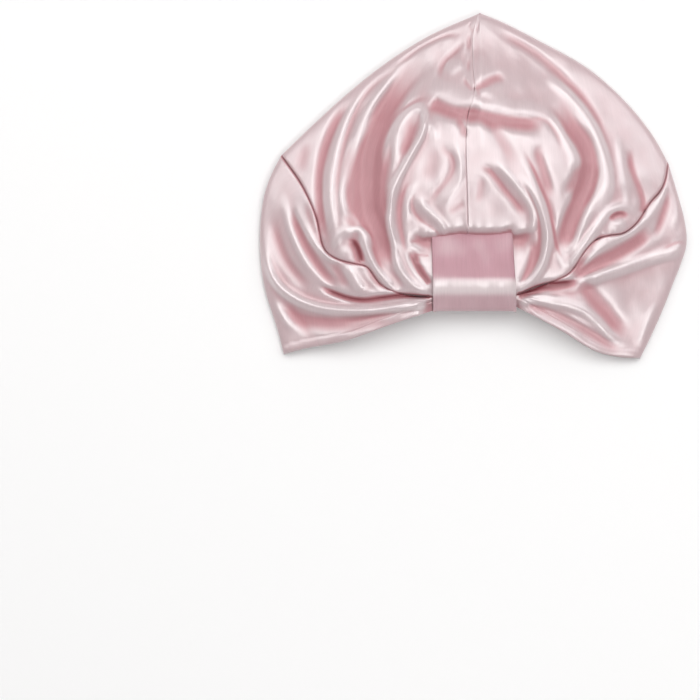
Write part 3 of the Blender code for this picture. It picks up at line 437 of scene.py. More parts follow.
print("stage: heights")
cloth = {
    "wall": 0.0009,
    "edgeRadius": 0.0048,
    "radiusShift": 0.55,
    "cornerRadius": 0.0036,     # the side fold at the lower corners is sharper
    "rollReach": 2.6,           # how far the side fold rounds in over the front, in edge radii
    "domeHeight": 0.0299,
    "domeReach": 0.050,
    "mouthShare": 0.50,         # the dome's share of its height that is lost at the mouth
    "mouthSlope": (0.12, -0.42),
    "backRollReach": 1.6,
    "backRecess": 0.0036,
    "backReach": 0.030,
    "recessSlope": (-0.38, -0.22),
    "restHeight": 0.0012,       # below this the back flattens towards the surface
    "floorGap": 0.0003,
    "leastRoom": 0.0005,
    "leastCavity": 0.0030,
    "cavityReach": 3,           # in edge radii: where the cavity reaches its least height
    "cavityShare": 0.3,         # the share of the least cavity that holds everywhere
    "foldEase": 2.0,            # in edge radii: where folds reach their full size
    # height, wavelength and wave set of the slow and the fine unevenness
    "uneven": ((0.00018, 0.030, 0), (0.00003, 0.009, 1)),
    "seamGap": 0.0001,
    "seamDip": 0.0010,
    "seamDipReach": 0.0009,
    # painted shadow along the seams: its strength and its reach
    "seamShade": 1.5,
    "seamShadeReach": 0.0007,
    "sideSeamShare": 1.0,
    "backSeamShare": 0.8,
    "puckerHeight": 0.00032,
    "puckerPitch": 0.0062,
    "puckerDrift": ((2.6, 0.0063), (1.7, 0.0171)),    # how far the puckers drift, and how slowly
    "puckerStrength": (0.55, 0.45),    # at its mean, and how much it swings
    "puckerBeat": (0.0093, 1.1, 0.0217),
    "puckerReach": 0.0034,
    "puckerStart": 0.001,
    "smoothingRounds": 700,
    "stiffness": 8,             # rounds of softening
    "softening": 0.6,
    "lineCells": 60,
    "curveCells": 24,           # for each given point of a curve
    "foldCells": 8,             # the same for a fold's line
    "waves": 40,
    "crownRows": 22,
    "wrapRows": 10,
    "underLoopCells": 6,
    "seamCells": 15,
    "backCells": 11,
    # new cells for each coarse one: down the crown, down the wrap, across the front, across the back
    "finer": (7.6, 8.6, 7.0, 8.0),
    "edgeCells": 14,
    "edgeCrowding": 1.7,
    "aroundRounds": 70,
    # painted shade where the cloth lies lower than the cloth around it: the depth where it is full, and its
    # share
    "aroundShadeDepth": 0.0013,
    "aroundShare": 0.70,
    "fullShadeDepth": 0.0030,         # depth of a valley, in metres, where its painted shade is full
    "slitFrom": 0.75,           # depth of a valley over its half width, past which it counts as a slit and gets painted shadow
    "slitRange": 0.6,
}
rng = np.random.default_rng(7)


def inMetres(points):
    # Shares of the width and length, times the width and length
    return np.array(points, float) * (bonnetWidth, bonnetLength)


def smoothPath(points, shares):
    # Points at these shares of the length of a cubic curve through the points, whose tangents are the
    # mean of the neighbouring slopes
    steps = np.linalg.norm(np.diff(points, axis=0), axis=1)
    at = np.concatenate([[0.0], np.cumsum(steps)])
    slopes = np.diff(points, axis=0) / steps[:, None]
    tangents = np.vstack([slopes[:1], (slopes[1:] + slopes[:-1]) / 2, slopes[-1:]])
    fine = np.linspace(0.0, at[-1], cloth["curveCells"] * len(steps) + 1)
    span = np.clip(np.searchsorted(at, fine, side="right") - 1, 0, len(steps) - 1)
    width = steps[span][:, None]
    t = (fine - at[span])[:, None] / width
    curve = ((1 + 2 * t) * (1 - t) ** 2 * points[span] + t * (1 - t) ** 2 * width * tangents[span]
             + t ** 2 * (3 - 2 * t) * points[span + 1] - t ** 2 * (1 - t) * width * tangents[span + 1])
    run = np.concatenate([[0.0], np.cumsum(np.linalg.norm(np.diff(curve, axis=0), axis=1))])
    wanted = np.asarray(shares) * run[-1]
    return np.stack([np.interp(wanted, run, curve[:, k]) for k in range(points.shape[1])], axis=-1)


def pathPoints(points, cells):
    # Evenly spread points along the curve, in metres
    return smoothPath(inMetres(points), np.linspace(0.0, 1.0, cells + 1))


def joined(*paths):
    # Paths end to end, without the repeated points where they meet
    return np.vstack([paths[0]] + [path[1:] for path in paths[1:]])


def filledNet(start, end, head, foot):
    # Blends the four edges, then moves each inner point to the mean of its neighbours, each pair weighted
    # by the other's spacing, less the skew, so that the lines of the net cross as squarely as they can
    down = np.linspace(0.0, 1.0, len(start))[:, None, None]
    over = np.linspace(0.0, 1.0, len(foot))[None, :, None]
    corners = ((1 - down) * ((1 - over) * head[0] + over * head[-1])
               + down * ((1 - over) * foot[0] + over * foot[-1]))
    net = ((1 - over) * start[:, None] + over * end[:, None] + (1 - down) * head[None] + down * foot[None]
           - corners)
    for _ in range(cloth["smoothingRounds"]):
        east, west = net[1:-1, 2:], net[1:-1, :-2]
        south, north = net[2:, 1:-1], net[:-2, 1:-1]
        sideways = (((south - north) / 2) ** 2).sum(-1, keepdims=True) + 1e-12
        lengthways = (((east - west) / 2) ** 2).sum(-1, keepdims=True) + 1e-12
        skew = ((east - west) * (south - north)).sum(-1, keepdims=True) / 4
        twist = (net[2:, 2:] - net[:-2, 2:] - net[2:, :-2] + net[:-2, :-2]) / 4
        moved = sideways * (east + west) + lengthways * (north + south) - 2 * skew * twist
        net[1:-1, 1:-1] = moved / (2 * (sideways + lengthways))
    return net


def evened(net):
    # Spreads the points of each column evenly along it
    shares = np.linspace(0.0, 1.0, len(net))
    spread = net.copy()
    for column in range(net.shape[1]):
        line = net[:, column]
        run = np.concatenate([[0.0], np.cumsum(np.linalg.norm(np.diff(line, axis=0), axis=1))])
        for axis in range(2):
            spread[:, column, axis] = np.interp(shares * run[-1], run, line[:, axis])
    return spread


def through(net, wanted):
    # A cubic through four neighbouring rows gives each wanted row, which may lie between two rows
    padded = np.concatenate([2 * net[:1] - net[1:2], net, 2 * net[-1:] - net[-2:-1]])
    first = np.clip(np.floor(wanted).astype(int), 0, len(net) - 2)
    t = (wanted - first).reshape(-1, *([1] * (net.ndim - 1)))
    a, b, c, d = (padded[first + k] for k in range(4))
    return b + 0.5 * t * (c - a + t * (2 * a - 5 * b + 4 * c - d + t * (3 * (b - c) + d - a)))


def nearestOn(points, line):
    # Distance of each point's nearest place on the line, the side it lies on, and the share of the line's
    # length up to there
    start, step = line[:-1], np.diff(line, axis=0)
    length = np.linalg.norm(step, axis=1)
    away = points[:, None] - start[None]
    along = np.clip((away * step).sum(-1) / length ** 2, 0.0, 1.0)
    distance = np.linalg.norm(away - along[..., None] * step, axis=-1)
    best = distance.argmin(axis=1)
    row = np.arange(len(points))
    cross = step[best, 0] * away[row, best, 1] - step[best, 1] * away[row, best, 0]
    before = np.concatenate([[0.0], np.cumsum(length)])
    share = (before[best] + along[row, best] * length[best]) / before[-1]
    return distance[row, best], np.sign(cross), share


def eased(value):
    # Three times the square less twice the cube, between 0 and 1
    value = np.clip(value, 0.0, 1.0)
    return value * value * (3 - 2 * value)


def sloped(y, slope):
    # 0 at the slope's first share of the length, 1 at its second, and eased between
    return eased((y / bonnetLength - slope[0]) / (slope[1] - slope[0]))


def folded(points, folds, fullHeight):
    # Each fold adds its height times a squared cosine of the distance to its line, past its flat middle.
    # The painted shading is 1 (painted shade) in a deep valley and below 0 (painted highlight) on a ridge,
    # and slit, the painted shadow of a slit, is 1 in one much deeper than it is wide.
    height = np.zeros(len(points))
    paintedShading = np.zeros(len(points))
    slit = np.zeros(len(points))
    for fold in folds:
        path = pathPoints(fold.line, cloth["foldCells"] * len(fold.line))
        reach = max(fold.left, fold.right) * bonnetWidth
        near = ((points > path.min(0) - reach) & (points < path.max(0) + reach)).all(axis=1)
        if not near.any():
            continue
        distance, side, share = nearestOn(points[near], path)
        width = np.where(side > 0, fold.left, fold.right) * bonnetWidth
        past = (distance / width - fold.flat) / (1 - fold.flat)
        crest = np.cos(np.pi / 2 * np.clip(past, 0.0, 1.0)) ** 2
        crest *= eased(share / fold.fadeIn) * eased((1 - share) / fold.fadeOut)
        tall = fold.height * fullHeight
        steep = -tall / (min(fold.left, fold.right) * bonnetWidth)
        height[near] += tall * crest
        paintedShading[near] += crest * np.clip(-tall / cloth["fullShadeDepth"], -1.0, 1.0)
        slitShare = np.clip((steep - cloth["slitFrom"]) / cloth["slitRange"], 0.0, 1.0)
        slit[near] = np.maximum(slit[near], crest * slitShare)
    return height, np.clip(paintedShading, -1.0, 1.0) + slit


def casingTop(cells):
    # The seam over the casing, from its left end to its right end
    return joined(pathPoints(panels["left"]["casingSeam"], cells),
                  pathPoints(panels["right"]["casingSeam"][::-1], cells))


casing = {
    "pleats": 26,
    "stations": 520,
    "around": 28,
    "thickness": 0.0046,
    "gap": 0.0006,
    "endGap": 0.0014,
    "floorGap": 0.0002,
    "seamCells": 200,
    "seamStep": 20,
    "pull": (0.0011, 0.011),         # height of the pleats in the cloth above the casing, and their reach
    "drift": (0.9, 3.3),             # how far the pleats stray from even spacing, and in how many waves
    "roundness": 0.8,                # of the pleats and of the section: 1 is a plain wave and an ellipse
    "thin": (0.55, 0.45),            # share of the thickness between pleats, and what a pleat adds
    "wide": (0.97, 0.10),            # share of the width on a pleat, and what is lost between pleats
    "endTaper": (0.985, 40),         # how far each end closes in, and how abruptly
    "stitch": (0.22, 0.45, 0.12),    # depth, place and reach of the two rows of stitches
    "shadeLevel": 0.8,                     # painted shade between pleats
}
casingSeamLine = casingTop(cloth["lineCells"])

edgeLines = [pathPoints(side[name], cloth["lineCells"])
             for side in panels.values() for name in ("crownEdge", "wrapEdge")]


def edgeDistance(points):
    # Distance to the nearest of the side folds' outermost lines
    return np.min([nearestOn(points, line)[0] for line in edgeLines], axis=0)


def edgeRadius(y):
    # The side fold's radius grows from the lower corners to the crown's tip
    grown = eased(y / bonnetLength + cloth["radiusShift"])
    return cloth["cornerRadius"] + (cloth["edgeRadius"] - cloth["cornerRadius"]) * grown


def rolled(distance, radius, reach):
    # A quarter ellipse: height of the side fold above its middle at this distance from its outermost line
    return radius * np.sqrt(1 - np.clip(1 - distance / (reach * radius), 0.0, 1.0) ** 2)


waveSets = [(rng.normal(size=(cloth["waves"], 2)), rng.uniform(0, 2 * np.pi, cloth["waves"]))
            for _ in range(3)]


def unevenness(points, wavelength, which):
    # A sum of sine waves in random directions, each about a wavelength long, with a mean square of 1
    turns, phases = waveSets[which]
    waves = np.sin(points @ (turns.T * (2 * np.pi / wavelength)) + phases)
    return waves.mean(axis=1) * np.sqrt(2 * len(phases))


loop = {
    "lipLine": ((-0.165, -0.134), (-0.142, -0.142), (-0.118, -0.153), (-0.098, -0.151), (-0.061, -0.141),
                (-0.033, -0.136), (0.013, -0.140), (0.060, -0.138), (0.085, -0.130), (0.090, -0.147),
                (0.130, -0.138)),
    "lipDrop": 0.0020,
    "fill": 0.0032,                  # how far the gathered cloth may rise to fill the loop
    "middle": -0.003,
    "tuckShade": (0.8, 0.006),        # painted shade where the cloth is brought down, and the depth where it is full
    "puckerSpan": 0.15,
    "puckerFade": 0.008,
    "puckerPitch": 0.0088,
    "puckerDrift": (2.2, 0.0068),
    "puckerHeight": 0.00050,
    "puckerReach": 0.0048,
    # shares of the width where the cloth beside the loop is down, and where it isn't
    "crownTuck": (0.104, 0.150),
    "wrapTuck": (0.100, 0.128),
    # y share, then the height of the cloth inside the loop as a share of the bonnet's height
    "inside": ((-0.370, 0.400), (-0.350, 0.428), (-0.330, 0.512), (-0.300, 0.605), (-0.270, 0.653),
               (-0.230, 0.633), (-0.190, 0.601), (-0.150, 0.541)),
    # the same round the closed section of the ring
    "section": ((-0.1330, 0.544), (-0.1650, 0.600), (-0.2300, 0.668), (-0.2720, 0.698), (-0.2870, 0.688),
                (-0.3020, 0.656), (-0.3180, 0.606), (-0.3400, 0.522), (-0.3550, 0.460), (-0.3590, 0.417),
                (-0.3480, 0.366), (-0.3200, 0.417), (-0.2600, 0.486), (-0.1900, 0.463), (-0.1500, 0.440),
                (-0.1350, 0.463), (-0.1330, 0.544)),
    "topAndLength": (-0.133, -0.226),
    "upper": (0.45, 0.08),           # height share where the upper half begins, and the reach of its blend
    "leftSide": (-0.100, -0.096),    # at the top and at the bottom, as shares of the width
    "rightSide": (0.088, 0.099),
    "around": 220,
    "across": 70,
    "wall": 0.0011,
    "sideRoll": 0.0011,
    "rollReach": 0.0016,
    # y share, height of the crossing ridge in metres, reach as a share of the length
    "ridges": ((-0.205, 0.0003, 0.030), (-0.160, -0.0003, 0.020)),
    "waves": (0.00012, 0.018),       # height and wavelength of the slow waves along the loop
    "waveStretch": (1.0, 0.35),
    "shadeLevel": (0.90, 0.65),            # painted shade above the strip that shines, and below it
    # random waver of the painted shade on the loop: its share and wavelength
    "shadeWaves": (0.06, 0.030),
    "paintedShine": (-0.293, 0.022),        # y share and reach of the strip where the loop bends over, where the painted shade is taken off as a painted highlight
}
gathers = {
    "calm": 0.004,                   # distance from a corner of the loop within which the waves fade
    "drift": (1.5, 3),
    # place: height, reach, waves over the full turn, phase
    "corners": {
        (-0.100, -0.322): (0.00075, 0.020, 25, 0.4),
        (0.100, -0.318): (0.00080, 0.020, 23, 1.7),
    },
}


def gathered(points):
    # Waves round each corner of the loop, highest close to it and fading with distance
    height = np.zeros(len(points))
    size, turns = gathers["drift"]
    for place, (tall, reach, waves, phase) in gathers["corners"].items():
        away = points - inMetres(place)
        distance = np.linalg.norm(away, axis=1)
        angle = np.arctan2(away[:, 1], away[:, 0])
        fade = np.exp(-distance / reach) * eased(distance / gathers["calm"])
        height += tall * fade * np.sin(waves * angle + phase + size * np.sin(turns * angle))
    # Puckers along the lip over the loop, which run away from it
    x = points[:, 0]
    lip = inMetres(loop["lipLine"])
    away = np.abs(points[:, 1] - np.interp(x, lip[:, 0], lip[:, 1]))
    within = eased((loop["puckerSpan"] * bonnetWidth - np.abs(x)) / loop["puckerFade"])
    size, length = loop["puckerDrift"]
    wave = np.sin(2 * np.pi * x / loop["puckerPitch"] + size * np.sin(x / length))
    return height + loop["puckerHeight"] * wave * np.exp(-away / loop["puckerReach"]) * within


def tucked(points, height, reach):
    # Brings the cloth to the level of the loop's inside, from the lip southwards and between its sides:
    # the height and the level, mixed by the product of two eased shares
    lip = inMetres(loop["lipLine"])
    lipAt = np.interp(points[:, 0], lip[:, 0], lip[:, 1])
    below = eased((lipAt - points[:, 1]) / loop["lipDrop"] + 0.5)
    down, up = (share * bonnetWidth for share in reach)
    inward = eased((up - np.abs(points[:, 0] - loop["middle"] * bonnetWidth)) / (up - down))
    rows = np.array(loop["inside"])
    level = np.interp(points[:, 1] / bonnetLength, rows[:, 0], rows[:, 1]) * bonnetHeight
    share = below * inward
    return height * (1 - share) + np.minimum(level, height + loop["fill"]) * share


def frontHeight(points, distance, floor, tuckReach):
    # The side fold's roll, the dome and the folds; a valley sinks by the room under it times one less the
    # exponential of its depth over that room, so it never reaches the floor
    radius = edgeRadius(points[:, 1])
    dome = cloth["domeHeight"] * (1 - np.exp(-(distance / cloth["domeReach"]) ** 2))
    folds, paintedShading = folded(points, frontFolds, foldHeight)
    ease = eased(distance / (cloth["foldEase"] * radius))
    share = 1 - cloth["mouthShare"] * sloped(points[:, 1], cloth["mouthSlope"])
    base = radius + rolled(distance, radius, cloth["rollReach"]) + dome * share
    fine = sum(tall * unevenness(points, wavelength, which) for tall, wavelength, which in cloth["uneven"])
    relief = (folds + gathered(points) + fine) * ease
    room = np.maximum(base - floor, cloth["leastRoom"])
    height = base + np.maximum(relief, 0) - room * (1 - np.exp(np.minimum(relief, 0) / room))
    lower = tucked(points, height, tuckReach)
    # Painted shade where the cloth is brought down into the loop
    shadeLevel, depth = loop["tuckShade"]
    return lower, paintedShading * ease + shadeLevel * eased((height - lower) / depth)


def backHeight(points, distance):
    # The underside of the side fold, raised at the nape, with folds and the pleats that the casing pulls in;
    # cloth lower than the rest height sinks towards the surface without reaching it
    radius = edgeRadius(points[:, 1])
    # The back's folds also give its painted shade in valleys and painted highlight on ridges
    folds, paintedShading = folded(points, backFolds, backFoldHeight)
    ease = eased(distance / (cloth["foldEase"] * radius))
    recess = (cloth["backRecess"] * (1 - np.exp(-(distance / cloth["backReach"]) ** 2))
              * sloped(points[:, 1], cloth["recessSlope"]))
    seam, _, share = nearestOn(points, casingSeamLine)
    tall, reach = casing["pull"]
    pleats = np.sin(2 * np.pi * share * casing["pleats"]) * np.exp(-seam / reach) * tall
    height = radius - rolled(distance, radius, cloth["backRollReach"]) + recess - folds * ease + pleats * ease
    rest = cloth["restHeight"]
    soft = np.where(height < rest, rest * np.exp(np.minimum(height / rest - 1, 0)), height)
    return soft + cloth["floorGap"], paintedShading * ease


def softened(height, rounds):
    # Rounds of moving each height towards the mean of its four neighbours
    height = height.copy()
    for _ in range(rounds):
        around = (height[1:-1, 2:] + height[1:-1, :-2] + height[2:, 1:-1] + height[:-2, 1:-1]) / 4
        height[1:-1, 1:-1] += cloth["softening"] * (around - height[1:-1, 1:-1])
    return height


def lifted(net, front, tuckReach):
    # Puts the front half of the net over the bonnet and the back half under it
    points = net.reshape(-1, 2)
    distance = edgeDistance(points)
    bottom, bottomShading = backHeight(points, distance)
    radius = edgeRadius(points[:, 1])
    floor = bottom + cloth["leastCavity"] * eased(distance / (cloth["cavityReach"] * radius))
    top, topShading = frontHeight(points, distance, floor, tuckReach)
    top = np.maximum(top, bottom + cloth["cavityShare"] * (floor - bottom))
    isFront = front.reshape(-1)
    height = softened(np.where(isFront, top, bottom).reshape(front.shape), cloth["stiffness"])
    # Cloth that lies lower than the cloth around it gets painted shade too, and cloth that lies higher a
    # painted highlight
    outward = np.where(front, 1.0, -1.0)
    lower = outward * (softened(height, cloth["aroundRounds"]) - height) / cloth["aroundShadeDepth"]
    ease = eased(distance / (cloth["foldEase"] * radius)).reshape(front.shape)
    paintedShading = np.where(isFront, topShading, bottomShading).reshape(front.shape)
    paintedShading += cloth["aroundShare"] * np.clip(lower, -1.0, 1.0) * ease * (1 - np.clip(paintedShading, 0.0, 1.0))
    return np.column_stack([points, height.reshape(-1)]).reshape(*net.shape[:2], 3), paintedShading


def seamed(grid, paintedShading, line, share, inner):
    # Turns one border of the grid in: it dips towards the border, with small puckers across the seam, and
    # gets the painted shadow of a slit there
    path = inMetres(line)
    flat = grid[..., :2].reshape(-1, 2)
    distance, _, along = nearestOn(flat, smoothPath(path, np.linspace(0, 1, cloth["lineCells"])))
    distance = distance.reshape(grid.shape[:2])
    run = (along * np.linalg.norm(np.diff(path, axis=0), axis=1).sum()).reshape(grid.shape[:2])
    up = np.where(inner, 1.0, -1.0)
    dip = cloth["seamDip"] * np.exp(-(distance / cloth["seamDipReach"]) ** 2) * share
    quick, slow = (size * np.sin(run / length) for size, length in cloth["puckerDrift"])
    wave = np.sin(2 * np.pi * run / cloth["puckerPitch"] + quick + slow)
    length, phase, longer = cloth["puckerBeat"]
    mean, swing = cloth["puckerStrength"]
    strength = mean + swing * np.sin(run / length + phase) * np.sin(run / longer)
    pucker = (cloth["puckerHeight"] * strength * wave * np.exp(-distance / cloth["puckerReach"])
              * eased(distance / cloth["puckerStart"]))
    grid[..., 2] += up * (pucker * share - dip)
    return grid, paintedShading + cloth["seamShade"] * np.exp(-(distance / cloth["seamShadeReach"]) ** 2) * share


def evenPlaces(coarse, finer):
    # Even places along a number of coarse cells, with about so many new cells for each
    return np.linspace(0.0, coarse, max(2, round(coarse * finer)) + 1)


def towardsEdge(coarse, finer):
    # Even places up to the last coarse cell, then closer and closer together towards the side fold
    even = evenPlaces(coarse - 1, finer)
    left = 1 - np.linspace(0.0, 1.0, cloth["edgeCells"] + 1)[1:]
    return np.concatenate([even, coarse - left ** cloth["edgeCrowding"]])


def overTheEdge(front, back, downFiner, acrossFiner, backFiner):
    # One fine net from the front's inner edge over the side fold to the back's inner edge
    down = evenPlaces(len(front) - 1, downFiner)
    frontPlaces = towardsEdge(front.shape[1] - 1, acrossFiner)
    backPlaces = (back.shape[1] - 1 - towardsEdge(back.shape[1] - 1, backFiner))[::-1]
    frontFine = through(through(front, down).transpose(1, 0, 2), frontPlaces).transpose(1, 0, 2)
    backFine = through(through(back, down).transpose(1, 0, 2), backPlaces).transpose(1, 0, 2)
    net = np.concatenate([frontFine, backFine[:, 1:]], axis=1)
    isFront = np.zeros(net.shape[:2], bool)
    isFront[:, :frontFine.shape[1]] = True
    return net, isFront


def pulledIn(net, column, inner):
    # Moves a border towards its neighbouring column by half the seam's gap
    reach = net[:, inner] - net[:, column]
    length = np.maximum(np.linalg.norm(reach, axis=1, keepdims=True), 1e-9)
    net[:, column] += reach / length * np.minimum(cloth["seamGap"] / 2, length / 3)


def crownNet(side):
    # Rows run from the tip, a pole, down to the side seam; columns run from the front's centre seam to the
    # back's
    rows = cloth["crownRows"]
    foot = joined(pathPoints(side["underLoop"], cloth["underLoopCells"]),
                  pathPoints(side["seam"], cloth["seamCells"]))
    edge = pathPoints(side["crownEdge"], rows)
    pole = np.repeat(inMetres(tip)[None], len(foot), axis=0)
    front = filledNet(pathPoints(centreFront, rows), edge, pole, foot)
    backFoot = pathPoints(side["seamBack"], cloth["backCells"])
    back = filledNet(edge, pathPoints(centreBack, rows), pole[:len(backFoot)], backFoot)
    downFiner, _, frontFiner, backFiner = cloth["finer"]
    net, isFront = overTheEdge(evened(front), evened(back), downFiner, frontFiner, backFiner)
    pulledIn(net, 0, 1)
    pulledIn(net, -1, -2)
    net[0] = inMetres(tip) + (side["sign"] * cloth["seamGap"] / 2, -cloth["seamGap"] / 2)
    pulledIn(net.transpose(1, 0, 2), -1, -2)
    return net, isFront


def wrapNet(side):
    # Rows run from the side seam down to the hem; columns run from the loop to the twist at the nape
    rows = cloth["wrapRows"]
    edge = pathPoints(side["wrapEdge"], rows)
    head = pathPoints(side["seam"], cloth["seamCells"])
    foot = pathPoints(side["hem"], cloth["seamCells"])
    front = filledNet(pathPoints(side["loopEdge"], rows), edge, head, foot)
    foot = joined(pathPoints(side["hemBack"], side["hemBackCells"]), pathPoints(side["casingEnd"], 1),
                  pathPoints(side["casingSeam"], cloth["backCells"] - side["hemBackCells"] - 1))
    head = pathPoints(side["seamBack"], cloth["backCells"])
    back = filledNet(edge, pathPoints(twistLine, rows), head, foot)
    _, downFiner, frontFiner, backFiner = cloth["finer"]
    net, isFront = overTheEdge(front, back, downFiner, frontFiner, backFiner)
    pulledIn(net, -1, -2)
    pulledIn(net.transpose(1, 0, 2), 0, 1)
    return net, isFront


def flatPlaces(grid):
    # Each point's place on the cut cloth: its run along the row, and its run down the column
    across = np.linalg.norm(np.diff(grid, axis=1), axis=2).cumsum(axis=1)
    down = np.linalg.norm(np.diff(grid, axis=0), axis=2).cumsum(axis=0)
    u = np.pad(across, ((0, 0), (1, 0)))
    v = np.pad(down, ((1, 0), (0, 0)))
    return np.stack([u, v], axis=-1)


def dressed(mesh, cut, paintedShading, wall, finish):
    # Gives a mesh its places on the cut cloth, its painted shading of hollows and crests, its finish and,
    # where it has one, its wall
    mesh.uv_layers.new(name="cut").data.foreach_set("uv", cut.astype(np.float32).ravel())
    # the painted shading: painted shade in hollows, painted highlight on crests
    mesh.attributes.new("paintedShading", "FLOAT", "POINT").data.foreach_set("value", paintedShading.astype(np.float32))
    mesh.shade_smooth()
    mesh.materials.append(finish)
    made = link(bpy.data.objects.new(mesh.name, mesh))
    if wall:
        body = made.modifiers.new("cloth wall", "SOLIDIFY")
        body.thickness = wall
        body.offset = -1.0
        body.use_rim = True
    return made


def clothMesh(name, grid, paintedShading, pole, turnOver, finish):
    # Four-sided faces between neighbouring points of the grid; a pole is one point with triangles round it
    rows, columns = grid.shape[:2]
    index = np.arange(rows * columns).reshape(rows, columns)
    flat = flatPlaces(grid).reshape(-1, 2)
    points = grid.reshape(-1, 3)
    paintedShading = paintedShading.reshape(-1)
    skipped = columns - 1 if pole else 0
    index = np.maximum(index - skipped, 0)
    points, flat, paintedShading = points[skipped:], flat[skipped:], paintedShading[skipped:]
    corners = np.stack([index[:-1, :-1], index[1:, :-1], index[1:, 1:], index[:-1, 1:]], axis=-1)
    if turnOver:
        corners = corners[..., ::-1]
    faces = [list(face) for face in corners[1 if pole else 0:].reshape(-1, 4).tolist()]
    if pole:
        for row in corners[0].tolist():
            faces.append([corner for k, corner in enumerate(row) if corner != row[k - 1]])
    mesh = bpy.data.meshes.new(name)
    mesh.from_pydata(points.tolist(), [], faces)
    vertexOf = np.empty(len(mesh.loops), np.int32)
    mesh.loops.foreach_get("vertex_index", vertexOf)
    return dressed(mesh, flat[vertexOf], paintedShading, cloth["wall"], finish)


hem = {
    "depth": 0.0062,
    "step": (0.0005, 0.0008),        # height, and the reach over which it rises
    "groove": (0.5, 0.0007),         # share of the step, and reach
    "roll": (0.0012, 0.0009),        # how far the edge rolls down, and reach
    "cells": 80,
}


def hemmed(grid, line, isFront):
    # A folded hem: the cloth is thicker along its edge, with a stitched groove where the fold ends
    path = smoothPath(inMetres(line), np.linspace(0, 1, hem["cells"]))
    distance = nearestOn(grid[..., :2].reshape(-1, 2), path)[0].reshape(grid.shape[:2])
    tall, reach = hem["step"]
    step = tall * eased((hem["depth"] - distance) / reach)
    share, reach = hem["groove"]
    groove = -share * tall * np.exp(-((distance - hem["depth"]) / reach) ** 2)
    down, reach = hem["roll"]
    roll = -down * np.exp(-distance / reach)
    grid[..., 2] += np.where(isFront, step + groove + roll, 0.0)
    return grid


def makeCrown(side, label, finish):
    # One half of the crown, with its centre seams and its side seam turned in
    net, isFront = crownNet(side)
    grid, paintedShading = lifted(net, isFront, loop["crownTuck"])
    grid, paintedShading = seamed(grid, paintedShading, centreFront[:-1], isFront * side["centreShare"], isFront)
    grid, paintedShading = seamed(grid, paintedShading, side["seam"], isFront * cloth["sideSeamShare"], isFront)
    grid, paintedShading = seamed(grid, paintedShading, centreBack, (~isFront) * cloth["backSeamShare"], isFront)
    return clothMesh("crown_cloth_" + label, grid, paintedShading, True, side["sign"] < 0, finish)


def makeWrap(side, label, finish):
    # One lower side panel, with its side seam turned in and its hem folded
    net, isFront = wrapNet(side)
    grid, paintedShading = lifted(net, isFront, loop["wrapTuck"])
    grid, paintedShading = seamed(grid, paintedShading, side["seam"], isFront * cloth["sideSeamShare"], isFront)
    grid = hemmed(grid, side["hem"], isFront)
    return clothMesh("wrap_cloth_" + label, grid, paintedShading, False, side["sign"] < 0, finish)


def makeLoop(finish):
    # The closed section is swept from the left side to the right; the ring's two rims turn in
    section = np.array(loop["section"]) * (bonnetLength, bonnetHeight)
    ring = smoothPath(section, np.linspace(0, 1, loop["around"] + 1))[:-1]
    ahead, behind = np.roll(ring, -1, axis=0), np.roll(ring, 1, axis=0)
    outward = np.stack([-(ahead - behind)[:, 1], (ahead - behind)[:, 0]], axis=1)
    outward /= np.linalg.norm(outward, axis=1, keepdims=True)
    least, reach = loop["upper"]
    upper = eased((ring[:, 1] / bonnetHeight - least) / reach)
    top, length = loop["topAndLength"]
    down = (ring[:, 0] / bonnetLength - top) / length
    left = (loop["leftSide"][0] + (loop["leftSide"][1] - loop["leftSide"][0]) * down) * bonnetWidth
    right = (loop["rightSide"][0] + (loop["rightSide"][1] - loop["rightSide"][0]) * down) * bonnetWidth
    share = (1 - np.cos(np.linspace(0, np.pi, loop["across"] + 1))) / 2
    x = left[:, None] + (right - left)[:, None] * share[None]
    rim = np.minimum(x - left[:, None], right[:, None] - x)
    swell = -loop["sideRoll"] * np.exp(-rim / loop["rollReach"])
    for at, tall, reach in loop["ridges"]:
        swell += tall * np.exp(-((ring[:, None, 0] / bonnetLength - at) / reach) ** 2) * upper[:, None]
    spots = np.stack([x, np.broadcast_to(ring[:, None, 0], x.shape)], axis=-1).reshape(-1, 2)
    tall, wavelength = loop["waves"]
    swell += tall * unevenness(spots * loop["waveStretch"], wavelength, 2).reshape(x.shape) * upper[:, None]
    y = ring[:, None, 0] + outward[:, None, 0] * swell
    z = ring[:, None, 1] + outward[:, None, 1] * swell
    grid = np.stack([x, y, z], axis=-1)
    # Painted shade on the loop, taken off along the strip where it bends over as a painted highlight, and
    # wavering at random
    at, reach = loop["paintedShine"]
    past = (ring[:, 0] / bonnetLength - at) / reach
    shadeLevel = loop["shadeLevel"][1] + (loop["shadeLevel"][0] - loop["shadeLevel"][1]) * eased((past + 1) / 2)
    share, wavelength = loop["shadeWaves"]
    unevenShade = 1 + share * unevenness(spots, wavelength, 0).reshape(x.shape)
    paintedShading = (shadeLevel * (1 - np.exp(-past ** 4) * upper))[:, None] * unevenShade
    return tubeMesh("loop_cloth", grid, paintedShading, loop["wall"], finish)


